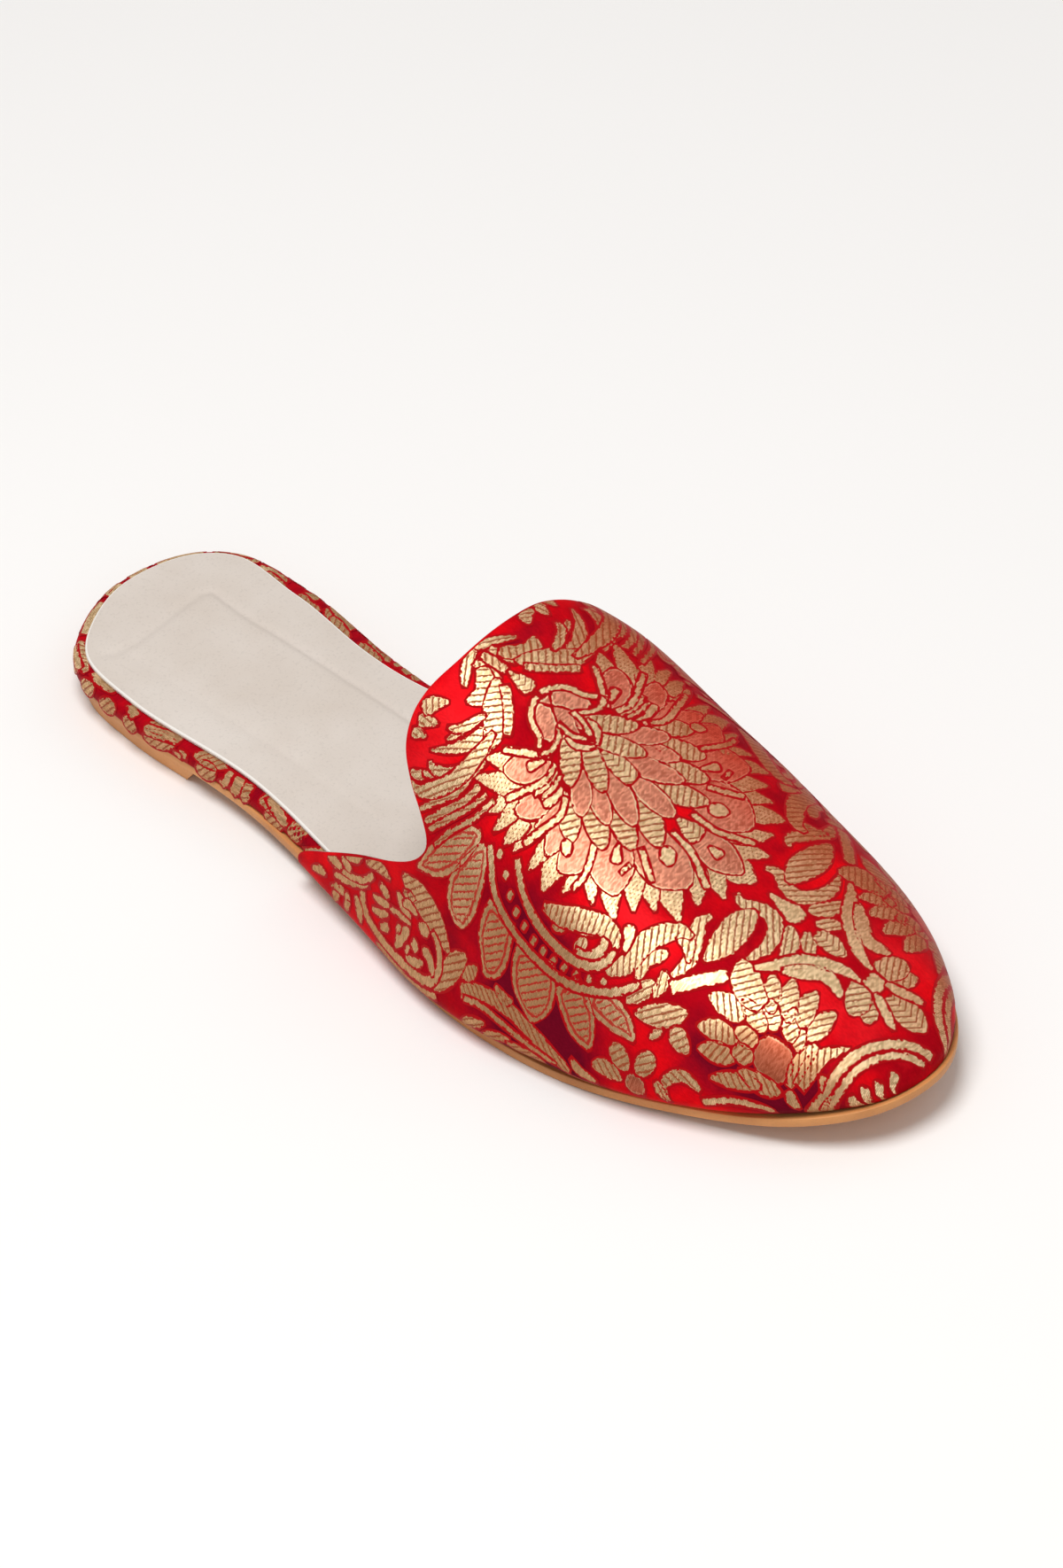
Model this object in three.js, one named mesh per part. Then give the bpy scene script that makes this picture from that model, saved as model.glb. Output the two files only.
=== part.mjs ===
// Backless flat mule for the right foot, as five separate solids: outsole, heel block, footbed, insole and upper.
// Millimetres, +Z up, the toe towards -Y and the outer (lateral) side of the foot towards -X.
// A station is the distance from the back of the heel towards the toe. Tables give it as a share of LENGTH.
import * as THREE from "three";
import { mergeVertices } from "three/addons/utils/BufferGeometryUtils.js";

// Driving dimensions
const LENGTH = 250;
const BALL_WIDTH = 88;
const INSTEP_HEIGHT = 66;
const HEEL_LIFT = 4.9;
const TOE_SPRING = 10.2;
const SOLE_THICKNESS = 2.5;
const FOOTBED_THICKNESS = 4;
const INSOLE_THICKNESS = 1;
const WALL = 1.8;
const SEAT_GAP = 0.3;

// Sole profile from the side: where the heel seat ends, where the ball is down, and where the toe starts to rise
const SEAT_END = 0.25 * LENGTH;
const BALL_START = 0.6 * LENGTH;
const BALL_END = 0.72 * LENGTH;
const HEEL_BREAST = 0.224 * LENGTH;
const BREAST_SLOPE = 3.5;

// Edges of the layers, inwards from the outline of the shoe
const SOLE_INSET_AT_HEEL = 1;
const SOLE_INSET_AT_BALL = 0;
const SOLE_BEVEL = 0.6;
const HEEL_TAPER = 1.5;
const FOOTBED_ROUND = 1.8;
const FOOTBED_TOE_SETBACK = 2.2;
const INSOLE_INSET = 2.8;
const INSOLE_TOE_SETBACK = 1.5;

// The upper stands over the edge of the sole at its wings and inside it at the toe
const FEATHER_AT_WING = -1;
const FEATHER_AT_TOE = 1.2;
const LATERAL_OVERHANG = 3.3;
const MEDIAL_OVERHANG = 1.3;
const OVERHANG_HEIGHT = 4.2;
const OVERHANG_FADE = 0.18 * LENGTH;
const LATERAL_FULLNESS = 2.36;
const MEDIAL_FULLNESS = 3.1;
const TOE_CLOSE = 0.85 * LENGTH;
const TOE_ROUNDNESS = 2.2;

// Mesh steps
const OUTLINE_STEPS = 40;
const LAYER_RINGS = 66;
const HEEL_RINGS = 30;
const SECTION_STEPS = 120;
const UPPER_COLUMNS = 52;
const UPPER_ROWS = 34;

// Half widths either side of the heel's centre line, as shares of BALL_WIDTH
const OUTLINE = [
  { at: 0.016, lateral: 0.165, medial: 0.199 },
  { at: 0.056, lateral: 0.307, medial: 0.301 },
  { at: 0.14, lateral: 0.358, medial: 0.318 },
  { at: 0.3, lateral: 0.358, medial: 0.267 },
  { at: 0.46, lateral: 0.432, medial: 0.352 },
  { at: 0.6, lateral: 0.506, medial: 0.449 },
  { at: 0.72, lateral: 0.494, medial: 0.5 },
  { at: 0.84, lateral: 0.392, medial: 0.455 },
  { at: 0.94, lateral: 0.261, medial: 0.301 },
  { at: 0.988, lateral: 0.119, medial: 0.148 },
];
const TOE_TIP = { at: 1, lateral: -0.028 };

// Crest of the upper: height over the sole as a share of INSTEP_HEIGHT, and how far it lies to the
// lateral side as a share of BALL_WIDTH
const CREST = [
  { at: 0.38, height: 1, lateral: 0.02 },
  { at: 0.46, height: 1, lateral: -0.01 },
  { at: 0.56, height: 0.935, lateral: -0.105 },
  { at: 0.66, height: 0.715, lateral: -0.11 },
  { at: 0.76, height: 0.525, lateral: -0.08 },
  { at: 0.86, height: 0.365, lateral: -0.05 },
  { at: 0.952, height: 0.245, lateral: -0.046 },
  { at: 1, height: 0.2, lateral: -0.028 },
];

// Collar: the station where the upper starts, by share of its girth from the lateral to the medial edge
const COLLAR = [
  { girth: 0, at: 0.388 },
  { girth: 0.037, at: 0.392 },
  { girth: 0.082, at: 0.434 },
  { girth: 0.12, at: 0.474 },
  { girth: 0.154, at: 0.516 },
  { girth: 0.18, at: 0.541 },
  { girth: 0.204, at: 0.552 },
  { girth: 0.222, at: 0.55 },
  { girth: 0.244, at: 0.536 },
  { girth: 0.269, at: 0.516 },
  { girth: 0.301, at: 0.498 },
  { girth: 0.339, at: 0.49 },
  { girth: 0.376, at: 0.49 },
  { girth: 0.436, at: 0.496 },
  { girth: 0.56, at: 0.498 },
  { girth: 0.6, at: 0.505 },
  { girth: 0.66, at: 0.522 },
  { girth: 0.72, at: 0.538 },
  { girth: 0.77, at: 0.55 },
  { girth: 0.796, at: 0.552 },
  { girth: 0.82, at: 0.541 },
  { girth: 0.846, at: 0.516 },
  { girth: 0.88, at: 0.474 },
  { girth: 0.918, at: 0.434 },
  { girth: 0.963, at: 0.392 },
  { girth: 1, at: 0.388 },
];

// Helpers for curves given as tables

function ease(from, to, value) {
  const share = THREE.MathUtils.clamp((value - from) / (to - from), 0, 1);
  return share * share * (3 - 2 * share);
}

// Straight-line look-up of y at x in two rising lists
function lookUp(x, xs, ys) {
  let high = xs.findIndex((value) => value >= x);
  if (high < 0) high = xs.length - 1;
  if (high === 0) return ys[0];
  const span = xs[high] - xs[high - 1];
  const share = span > 0 ? Math.min((x - xs[high - 1]) / span, 1) : 0;
  return ys[high - 1] + (ys[high] - ys[high - 1]) * share;
}

// Smooth curve through one column of a table: a cubic between rows, sloped at each row like the chord of its neighbours
function column(rows, along, name, x) {
  const last = rows.length - 1;
  const clamped = THREE.MathUtils.clamp(x, rows[0][along], rows[last][along]);
  let i = rows.findIndex((row) => row[along] >= clamped);
  i = Math.max(i, 1) - 1;
  const slope = (k) => {
    const a = rows[Math.max(k - 1, 0)];
    const b = rows[Math.min(k + 1, last)];
    return (b[name] - a[name]) / (b[along] - a[along]);
  };
  const span = rows[i + 1][along] - rows[i][along];
  const t = (clamped - rows[i][along]) / span;
  const t2 = t * t;
  const t3 = t2 * t;
  return (
    (2 * t3 - 3 * t2 + 1) * rows[i][name] +
    (t3 - 2 * t2 + t) * span * slope(i) +
    (3 * t2 - 2 * t3) * rows[i + 1][name] +
    (t3 - t2) * span * slope(i + 1)
  );
}

// Outline of the shoe from above: a closed curve with x towards the lateral side and y along the stations
const outlineCurve = new THREE.CatmullRomCurve3(
  [
    new THREE.Vector3(0, 0, 0),
    ...OUTLINE.map((row) => new THREE.Vector3(row.lateral * BALL_WIDTH, row.at * LENGTH, 0)),
    new THREE.Vector3(TOE_TIP.lateral * BALL_WIDTH, TOE_TIP.at * LENGTH, 0),
    ...OUTLINE.toReversed().map((row) => new THREE.Vector3(-row.medial * BALL_WIDTH, row.at * LENGTH, 0)),
  ],
  true,
);
const outlinePoints = outlineCurve.getPoints(OUTLINE_STEPS * 2 * (OUTLINE.length + 1)).slice(0, -1);

// The outline moved inwards by inset(station): the two sides by station, and stations evenly spaced along the edge
function plan(inset) {
  const count = outlinePoints.length;
  const moved = outlinePoints.map((p, i) => {
    const tangent = outlinePoints[(i + 1) % count].clone().sub(outlinePoints[(i + count - 1) % count]).normalize();
    return new THREE.Vector2(p.x, p.y).addScaledVector(new THREE.Vector2(-tangent.y, tangent.x), inset(p.y));
  });
  const tip = moved.reduce((best, p, i) => (p.y > moved[best].y ? i : best), 0);
  const back = moved.reduce((best, p, i) => (p.y < moved[best].y ? i : best), 0);
  const side = (step) => {
    const points = [];
    for (let i = back; i !== (tip + step + count) % count; i = (i + step + count) % count) points.push(moved[i]);
    return points;
  };
  const lateral = side(1);
  const medial = side(-1);
  const arcs = [0];
  lateral.slice(1).forEach((p, i) => arcs.push(arcs[i] + p.distanceTo(lateral[i])));
  const stations = (points) => points.map((p) => p.y);
  const acrosses = (points) => points.map((p) => p.x);
  const [lateralAt, medialAt] = [stations(lateral), stations(medial)];
  const [lateralX, medialX] = [acrosses(lateral), acrosses(medial)];
  return {
    start: moved[back].y,
    tip: moved[tip].y,
    lateral: (station) => lookUp(station, lateralAt, lateralX),
    medial: (station) => lookUp(station, medialAt, medialX),
    // Station at a share of the edge's length between a start station and an end station
    between: (from, to, share) => {
      const first = lookUp(from, lateralAt, arcs);
      const last = lookUp(to, lateralAt, arcs);
      return lookUp(first + (last - first) * share, arcs, lateralAt);
    },
  };
}

// Underside of the sole by station: up on the heel, down at the ball, and up again at the toe
function soleBottom(station) {
  const toe = Math.max((station - BALL_END) / (LENGTH - BALL_END), 0);
  return HEEL_LIFT * (1 - ease(SEAT_END, BALL_START, station)) + TOE_SPRING * toe * toe;
}

// From the shoe's own axes to the part's: lateral is -X and the toe is towards -Y
function place(lateral, station, up) {
  return new THREE.Vector3(-lateral, LENGTH / 2 - station, up);
}

// Closed geometry from triangles of corner points: equal corners are merged and flattened triangles dropped
function closedGeometry(triangles) {
  const soup = new THREE.BufferGeometry().setFromPoints(triangles.flat());
  const merged = mergeVertices(soup, 1e-3);
  const kept = [];
  const index = merged.index.array;
  for (let i = 0; i < index.length; i += 3) {
    const [a, b, c] = [index[i], index[i + 1], index[i + 2]];
    if (a !== b && b !== c && a !== c) kept.push(a, b, c);
  }
  merged.setIndex(kept);
  merged.computeVertexNormals();
  return merged;
}

function quad(a, b, c, d) {
  return [
    [a, c, b],
    [a, d, c],
  ];
}

// Solid between rings of equal size. The first ring has closed to a line, and so has the last unless it is capped.
function loft(rings, capped = false) {
  const triangles = [];
  const size = rings[0].length;
  for (let i = 0; i + 1 < rings.length; i++)
    for (let j = 0; j < size; j++) {
      const k = (j + 1) % size;
      triangles.push(...quad(rings[i][j], rings[i][k], rings[i + 1][k], rings[i + 1][j]));
    }
  const last = rings.at(-1);
  if (capped) for (let j = 1; j + 1 < size; j++) triangles.push([last[0], last[j + 1], last[j]]);
  return closedGeometry(triangles);
}

// A layer of the bottom: levels go from its underside to its top, each with an inset, a height and, if the layer
// stops short of the toe, the station where it ends. Each ring runs up the lateral edge and down the medial one.
function layer(levels, ringCount, height) {
  const plans = levels.map((level) => plan(level.inset));
  const rings = [];
  for (let i = 0; i <= ringCount; i++) {
    const edges = levels.map((level, k) => {
      const p = plans[k];
      const station = p.between(p.start, level.end ?? p.tip, i / ringCount);
      const up = height(station, level.up);
      return [place(p.lateral(station), station, up), place(p.medial(station), station, up)];
    });
    rings.push([...edges.map((edge) => edge[0]), ...edges.toReversed().map((edge) => edge[1])]);
  }
  return loft(rings, levels[0].end !== undefined);
}

const overSole = (station, up) => soleBottom(station) + up;
const overGround = (station, up) => up;

// Insets by station

const soleInset = (station) => {
  const forward = ease(0.18 * LENGTH, 0.3 * LENGTH, station);
  return SOLE_INSET_AT_HEEL + (SOLE_INSET_AT_BALL - SOLE_INSET_AT_HEEL) * forward;
};
const featherInset = (station) =>
  FEATHER_AT_WING + (FEATHER_AT_TOE - FEATHER_AT_WING) * ease(0.5 * LENGTH, 0.76 * LENGTH, station);
const atToe = (station) => ease(0.88 * LENGTH, 0.98 * LENGTH, station);
const footbedInset = (station) =>
  (featherInset(station) + WALL + SEAT_GAP) * ease(0.28 * LENGTH, 0.38 * LENGTH, station) +
  FOOTBED_TOE_SETBACK * atToe(station);
const insoleInset = (station) =>
  Math.max(INSOLE_INSET, footbedInset(station) + SEAT_GAP) + INSOLE_TOE_SETBACK * atToe(station);

function outsoleGeometry() {
  return layer(
    [
      { inset: (s) => soleInset(s) + SOLE_BEVEL, up: 0 },
      { inset: soleInset, up: SOLE_BEVEL },
      { inset: soleInset, up: SOLE_THICKNESS },
    ],
    LAYER_RINGS,
    overSole,
  );
}

function heelGeometry() {
  return layer(
    [
      { inset: (s) => soleInset(s) + HEEL_TAPER, up: 0, end: HEEL_BREAST - BREAST_SLOPE },
      { inset: (s) => soleInset(s) + SOLE_BEVEL, up: HEEL_LIFT, end: HEEL_BREAST },
    ],
    HEEL_RINGS,
    overGround,
  );
}

function footbedGeometry() {
  const bottom = SOLE_THICKNESS + SEAT_GAP;
  const top = bottom + FOOTBED_THICKNESS;
  const corner = FOOTBED_ROUND * (1 - Math.SQRT1_2);
  return layer(
    [
      { inset: (s) => footbedInset(s) + 0.5, up: bottom },
      { inset: footbedInset, up: bottom + 0.8 },
      { inset: footbedInset, up: top - FOOTBED_ROUND },
      { inset: (s) => footbedInset(s) + corner, up: top - corner },
      { inset: (s) => footbedInset(s) + FOOTBED_ROUND, up: top },
    ],
    LAYER_RINGS,
    overSole,
  );
}

function insoleGeometry() {
  const bottom = SOLE_THICKNESS + FOOTBED_THICKNESS + 2 * SEAT_GAP;
  const edge = 0.4;
  return layer(
    [
      { inset: insoleInset, up: bottom },
      { inset: insoleInset, up: bottom + INSOLE_THICKNESS - edge },
      { inset: (s) => insoleInset(s) + edge, up: bottom + INSOLE_THICKNESS },
    ],
    LAYER_RINGS,
    overSole,
  );
}

// One face of the upper, a given distance inside its outer face: the point at a share of the girth, from the
// lateral to the medial edge, and a share of the way from the collar to the tip of the toe
function upperFace(inside) {
  const edges = plan((station) => featherInset(station) + inside);

  // Section across the shoe: two quarter superellipses that meet at the crest, pushed out over the sole low down
  function section(station) {
    const at = station / LENGTH;
    const share = THREE.MathUtils.clamp((station - TOE_CLOSE) / (edges.tip - TOE_CLOSE), 0, 1);
    const closing = Math.sqrt(1 - share ** TOE_ROUNDNESS);
    const height = (column(CREST, "at", "height", at) * INSTEP_HEIGHT - inside) * closing;
    const lateral = edges.lateral(station);
    const medial = edges.medial(station);
    const wanted = column(CREST, "at", "lateral", at) * BALL_WIDTH;
    const crest = THREE.MathUtils.clamp(wanted, medial + (lateral - medial) * 0.2, medial + (lateral - medial) * 0.8);
    const fade = Math.sqrt(THREE.MathUtils.clamp((edges.tip - station) / OVERHANG_FADE, 0, 1));
    const points = [];
    for (let i = 0; i <= SECTION_STEPS; i++) {
      const angle = (Math.PI * i) / SECTION_STEPS;
      const across = Math.cos(angle);
      const up = Math.sin(angle);
      const side = across > 0 ? 1 : -1;
      const fullness = side > 0 ? LATERAL_FULLNESS : MEDIAL_FULLNESS;
      const radius = (Math.abs(across) ** fullness + up ** fullness) ** (-1 / fullness);
      const halfWidth = side > 0 ? lateral - crest : crest - medial;
      const z = height * up * radius;
      const overhang = (side > 0 ? LATERAL_OVERHANG : MEDIAL_OVERHANG) + featherInset(station);
      const level = z / OVERHANG_HEIGHT;
      const push = side * overhang * fade * level * Math.exp(1 - level) * Math.abs(across);
      points.push(new THREE.Vector2(crest + halfWidth * across * radius + push, z));
    }
    return points;
  }

  return (girth, along) => {
    const start = column(COLLAR, "girth", "at", girth) * LENGTH;
    const station = edges.between(start, edges.tip, along);
    const points = section(station);
    const lengths = [0];
    points.slice(1).forEach((p, i) => lengths.push(lengths[i] + p.distanceTo(points[i])));
    const wanted = girth * lengths.at(-1);
    const x = lookUp(wanted, lengths, points.map((p) => p.x));
    const z = lookUp(wanted, lengths, points.map((p) => p.y));
    return place(x, station, soleBottom(station) + SOLE_THICKNESS + SEAT_GAP + z);
  };
}

// Hollow shell, open at the collar and underneath
function upperGeometry() {
  const grid = (face) =>
    Array.from({ length: UPPER_ROWS + 1 }, (_, i) =>
      Array.from({ length: UPPER_COLUMNS + 1 }, (_, j) => face(j / UPPER_COLUMNS, i / UPPER_ROWS)),
    );
  const outer = grid(upperFace(0));
  const inner = grid(upperFace(WALL));
  for (const face of [outer, inner]) face[UPPER_ROWS].fill(face[UPPER_ROWS][0]);
  const triangles = [];
  for (let i = 0; i < UPPER_ROWS; i++) {
    for (let j = 0; j < UPPER_COLUMNS; j++) {
      triangles.push(...quad(outer[i][j], outer[i][j + 1], outer[i + 1][j + 1], outer[i + 1][j]));
      triangles.push(...quad(inner[i][j], inner[i + 1][j], inner[i + 1][j + 1], inner[i][j + 1]));
    }
    triangles.push(...quad(outer[i][0], outer[i + 1][0], inner[i + 1][0], inner[i][0]));
    const j = UPPER_COLUMNS;
    triangles.push(...quad(outer[i][j], inner[i][j], inner[i + 1][j], outer[i + 1][j]));
  }
  for (let j = 0; j < UPPER_COLUMNS; j++)
    triangles.push(...quad(outer[0][j], inner[0][j], inner[0][j + 1], outer[0][j + 1]));
  return closedGeometry(triangles);
}

// Materials
const tanLeather = new THREE.MeshStandardMaterial({ color: 0xc98f55, roughness: 0.55, metalness: 0 });
const brocade = new THREE.MeshStandardMaterial({ color: 0xb8332a, roughness: 0.45, metalness: 0.1 });
const creamLeather = new THREE.MeshStandardMaterial({ color: 0xe0d5c8, roughness: 0.6, metalness: 0 });

const PIECES = [
  { name: "outsole", geometry: outsoleGeometry(), material: tanLeather },
  { name: "heel_block", geometry: heelGeometry(), material: tanLeather },
  { name: "footbed", geometry: footbedGeometry(), material: brocade },
  { name: "insole", geometry: insoleGeometry(), material: creamLeather },
  { name: "upper", geometry: upperGeometry(), material: brocade },
];

const shoe = new THREE.Group();
for (const { name, geometry, material } of PIECES) {
  const mesh = new THREE.Mesh(geometry, material);
  mesh.name = name;
  shoe.add(mesh);
}

// The origin is on the ground under the middle of the whole shoe
const middle = new THREE.Box3().setFromObject(shoe).getCenter(new THREE.Vector3());
shoe.position.set(-middle.x, -middle.y, 0);

export default shoe;
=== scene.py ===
from collections import namedtuple
from functools import lru_cache

import bpy
import numpy as np
from mathutils import Matrix, Vector


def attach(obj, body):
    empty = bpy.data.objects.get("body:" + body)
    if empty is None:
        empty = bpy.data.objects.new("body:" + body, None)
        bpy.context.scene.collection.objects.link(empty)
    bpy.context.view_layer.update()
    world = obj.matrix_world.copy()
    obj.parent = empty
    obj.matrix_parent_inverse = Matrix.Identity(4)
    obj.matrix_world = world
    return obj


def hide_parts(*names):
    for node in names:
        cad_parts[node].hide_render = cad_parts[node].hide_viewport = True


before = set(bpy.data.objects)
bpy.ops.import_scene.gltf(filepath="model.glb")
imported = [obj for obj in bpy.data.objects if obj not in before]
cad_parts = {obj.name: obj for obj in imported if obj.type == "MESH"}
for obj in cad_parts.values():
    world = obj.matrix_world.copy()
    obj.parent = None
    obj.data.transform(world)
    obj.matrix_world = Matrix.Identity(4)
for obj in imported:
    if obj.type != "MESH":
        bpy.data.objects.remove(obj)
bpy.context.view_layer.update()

bl_info = {
    "name": "Brocade mule",
    "version": (1, 0, 0),
    "blender": (4, 5, 0),
    "location": "3D View > Sidebar > Mule",
    "description": "Builds a backless brocade mule with a cream insole and a tan leather sole",
    "category": "Add Mesh",
}

# Sizes shared with the solids, in millimetres. A station is the distance from the back of the heel, and a
# station share is that distance over the length.
LENGTH = 250.0
BALL_WIDTH = 88.0
INSTEP_HEIGHT = 66.0
HEEL_LIFT = 4.9
TOE_SPRING = 10.2
SOLE = 2.5
FOOTBED = 4.0
INSOLE = 1.0
WALL = 1.8
GAP = 0.3
# The middle of the shoe's width lies this far to the lateral side of the heel's centre line
WIDTH_MIDDLE = 1.442
# The sole leaves the heel's level at the first station, and lies on the ground between the other two
SEAT_END, BALL_START, BALL_END = 62.5, 150.0, 180.0
HEEL_BREAST, BREAST_SLOPE = 56.0, 3.5
# How far the upper leans out over the sole, at which height most, and how far before the tip this fades
LATERAL_OVERHANG, MEDIAL_OVERHANG = 3.3, 1.3
OVERHANG_HEIGHT, OVERHANG_FADE = 4.2, 45.0
# Exponents of the superellipse on each side of a section: 2 is round, and more is fuller
LATERAL_FULLNESS, MEDIAL_FULLNESS = 2.36, 3.1
# Station where the upper starts to close over the toe, and the exponent of that closing
TOE_CLOSE, TOE_ROUNDNESS = 212.5, 2.2

# Insets of the layers from the outline, and the stations between which each one changes
SOLE_INSET, SOLE_STEP = 1.0, (45, 75)
FEATHER_OUT, FEATHER_IN, FEATHER_STEP = 1.0, 1.2, (125, 190)
WALL_STEP = (70, 95)
TOE_INSET, INSOLE_TOE_INSET, TOE_STEP = 2.2, 1.5, (220, 245)
INSOLE_MARGIN = 2.8
ARCH_MARGIN, ARCH_RISE, ARCH_FALL = 1.9, (12, 36), (52, 94)

# Radii of rounded edges, and how far the cloth rolls past the first row of the upper at the collar
SOLE_LOW_ROUND, SOLE_TOP_ROUND = 0.6, 0.25
EDGE_ROUND = 1.8
INSOLE_ROUND = 0.4
COLLAR_ROLL = 0.9

# The table of the upper starts at the first station, and its cloth is measured from the second on the crest
FACE_START, CLOTH_START = 94.0, 124.5
# Millimetres of cloth in one unit of the UV map
UV_MM = 100
# Points nearer than this are one, in metres
WELD = 2e-6

# Half widths of the outline either side of the heel's centre line, as shares of the ball width
OUTLINE = np.array([
    # station share, lateral, medial
    (0.016, 0.165, 0.199),
    (0.056, 0.307, 0.301),
    (0.14, 0.358, 0.318),
    (0.3, 0.358, 0.267),
    (0.46, 0.432, 0.352),
    (0.6, 0.506, 0.449),
    (0.72, 0.494, 0.5),
    (0.84, 0.392, 0.455),
    (0.94, 0.261, 0.301),
    (0.988, 0.119, 0.148),
])
TOE_TIP = -0.028

# Crest of the upper: station share, height share, and how far it lies to the lateral side
CREST = np.array([
    (0.38, 1, 0.02),
    (0.46, 1, -0.01),
    (0.56, 0.935, -0.105),
    (0.66, 0.715, -0.11),
    (0.76, 0.525, -0.08),
    (0.86, 0.365, -0.05),
    (0.952, 0.245, -0.046),
    (1, 0.2, -0.028),
])

# Collar: share of the girth from the lateral to the medial edge, and the station share where the upper starts
COLLAR = np.array([
    (0, 0.388), (0.037, 0.392), (0.082, 0.434), (0.12, 0.474), (0.154, 0.516), (0.18, 0.541), (0.204, 0.552),
    (0.222, 0.55), (0.244, 0.536), (0.269, 0.516), (0.301, 0.498), (0.339, 0.49), (0.376, 0.49),
    (0.436, 0.496), (0.56, 0.498), (0.6, 0.505), (0.66, 0.522), (0.72, 0.538), (0.77, 0.55), (0.796, 0.552),
    (0.82, 0.541), (0.846, 0.516), (0.88, 0.474), (0.918, 0.434), (0.963, 0.392), (1, 0.388),
])


# Lines and curves

def ease(low, high, value):
    """Smooth step: 0 before low, 1 after high, and 3t^2 - 2t^3 between them."""
    t = np.clip((value - low) / (high - low), 0, 1)
    return t * t * (3 - 2 * t)


def unit(vectors):
    """Vectors brought to length 1."""
    return vectors / np.maximum(np.linalg.norm(vectors, axis=-1, keepdims=True), 1e-9)


def run_along(points):
    """Length of a broken line from its start to each of its points."""
    return np.r_[0, np.cumsum(np.linalg.norm(np.diff(points, axis=0), axis=1))]


def smooth_column(rows, column, x):
    """Cubic Hermite curve through a table's column, sloped at each row like the chord of its neighbours."""
    xs, ys = rows[:, 0], rows[:, column]
    low = np.maximum(np.arange(len(xs)) - 1, 0)
    high = np.minimum(np.arange(len(xs)) + 1, len(xs) - 1)
    slope = (ys[high] - ys[low]) / (xs[high] - xs[low])
    x = np.clip(x, xs[0], xs[-1])
    i = np.clip(np.searchsorted(xs, x) - 1, 0, len(xs) - 2)
    span = xs[i + 1] - xs[i]
    t = (x - xs[i]) / span
    start = (2 * t**3 - 3 * t**2 + 1) * ys[i] + (t**3 - 2 * t**2 + t) * span * slope[i]
    end = (3 * t**2 - 2 * t**3) * ys[i + 1] + (t**3 - t**2) * span * slope[i + 1]
    return start + end


def rounded_loop(points, steps):
    """Closed centripetal Catmull-Rom curve: each span is a cubic whose end slopes come from the spans beside
    it, weighted by the square root of their lengths."""
    points = np.asarray(points, float)
    before, after, beyond = np.roll(points, 1, 0), np.roll(points, -1, 0), np.roll(points, -2, 0)

    def root(a, b):
        """Square root of the distance between points."""
        return np.maximum(np.sum((a - b) ** 2, 1) ** 0.25, 1e-4)[:, None]

    d0, d1, d2 = root(before, points), root(points, after), root(after, beyond)
    start = ((points - before) / d0 - (after - before) / (d0 + d1) + (after - points) / d1) * d1
    end = ((after - points) / d1 - (beyond - points) / (d1 + d2) + (beyond - after) / d2) * d1
    t = np.linspace(0, 1, steps, endpoint=False)[None, :, None]
    p, q, start, end = points[:, None], after[:, None], start[:, None], end[:, None]
    curve = p + start * t + (3 * (q - p) - 2 * start - end) * t**2 + (2 * (p - q) + start + end) * t**3
    return curve.reshape(-1, 2)


def outline_points():
    """The shoe's outline from above: x towards the lateral side, y along the stations."""
    left = [(lateral * BALL_WIDTH, at * LENGTH) for at, lateral, _ in OUTLINE]
    right = [(-medial * BALL_WIDTH, at * LENGTH) for at, _, medial in OUTLINE[::-1]]
    return rounded_loop([(0, 0)] + left + [(TOE_TIP * BALL_WIDTH, LENGTH)] + right, 60)


OUTLINE_POINTS = outline_points()


class Plan:
    """The outline moved inwards by inset(station), as two sides that can be looked up by station."""

    def __init__(self, inset):
        points = OUTLINE_POINTS
        along = unit(np.roll(points, -1, 0) - np.roll(points, 1, 0))
        moved = points + np.c_[-along[:, 1], along[:, 0]] * inset(points[:, 1])[:, None]
        tip, back, count = np.argmax(moved[:, 1]), np.argmin(moved[:, 1]), len(moved)
        lateral = moved[np.arange(back, tip + (count if tip < back else 0) + 1) % count]
        medial = moved[np.arange(back + (count if back < tip else 0), tip - 1, -1) % count]
        self.start, self.tip = moved[back, 1], moved[tip, 1]
        self.lateral_at, self.lateral_x = np.maximum.accumulate(lateral[:, 1]), lateral[:, 0]
        self.medial_at, self.medial_x = np.maximum.accumulate(medial[:, 1]), medial[:, 0]
        self.run = run_along(lateral)

    def lateral(self, station):
        """Where the lateral side lies at a station, by straight lines between its points."""
        return np.interp(station, self.lateral_at, self.lateral_x)

    def medial(self, station):
        """Where the medial side lies at a station, by straight lines between its points."""
        return np.interp(station, self.medial_at, self.medial_x)

    def between(self, low, high, share):
        """Station at a share of the lateral side's length between two stations."""
        first, last = np.interp([low, high], self.lateral_at, self.run)
        return np.interp(first + (last - first) * share, self.run, self.lateral_at)


# Levels of the sole, and insets of the layers on it

def sole_bottom(station):
    """Underside of the sole: up on the heel, down at the ball, and up again as a parabola at the toe."""
    toe = np.maximum((station - BALL_END) / (LENGTH - BALL_END), 0)
    return HEEL_LIFT * (1 - ease(SEAT_END, BALL_START, station)) + TOE_SPRING * toe * toe


def over_sole(station, up):
    """Height over the ground of what lies a height over the sole's underside."""
    return sole_bottom(station) + up


def over_ground(station, up):
    """One height over the ground at every station."""
    return np.full_like(station, up)


def sole_inset(station):
    """The sole is set in at the heel, and its inset ends at the waist."""
    return SOLE_INSET * (1 - ease(*SOLE_STEP, station))


def feather_inset(station):
    """The foot of the upper stands out at the waist and goes in towards the toe."""
    return -FEATHER_OUT + (FEATHER_OUT + FEATHER_IN) * ease(*FEATHER_STEP, station)


def footbed_inset(station):
    """The footbed follows the outline at the heel, and a gap inside the upper's wall from the waist on."""
    within_wall = feather_inset(station) + WALL + GAP
    return within_wall * ease(*WALL_STEP, station) + TOE_INSET * ease(*TOE_STEP, station)


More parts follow.
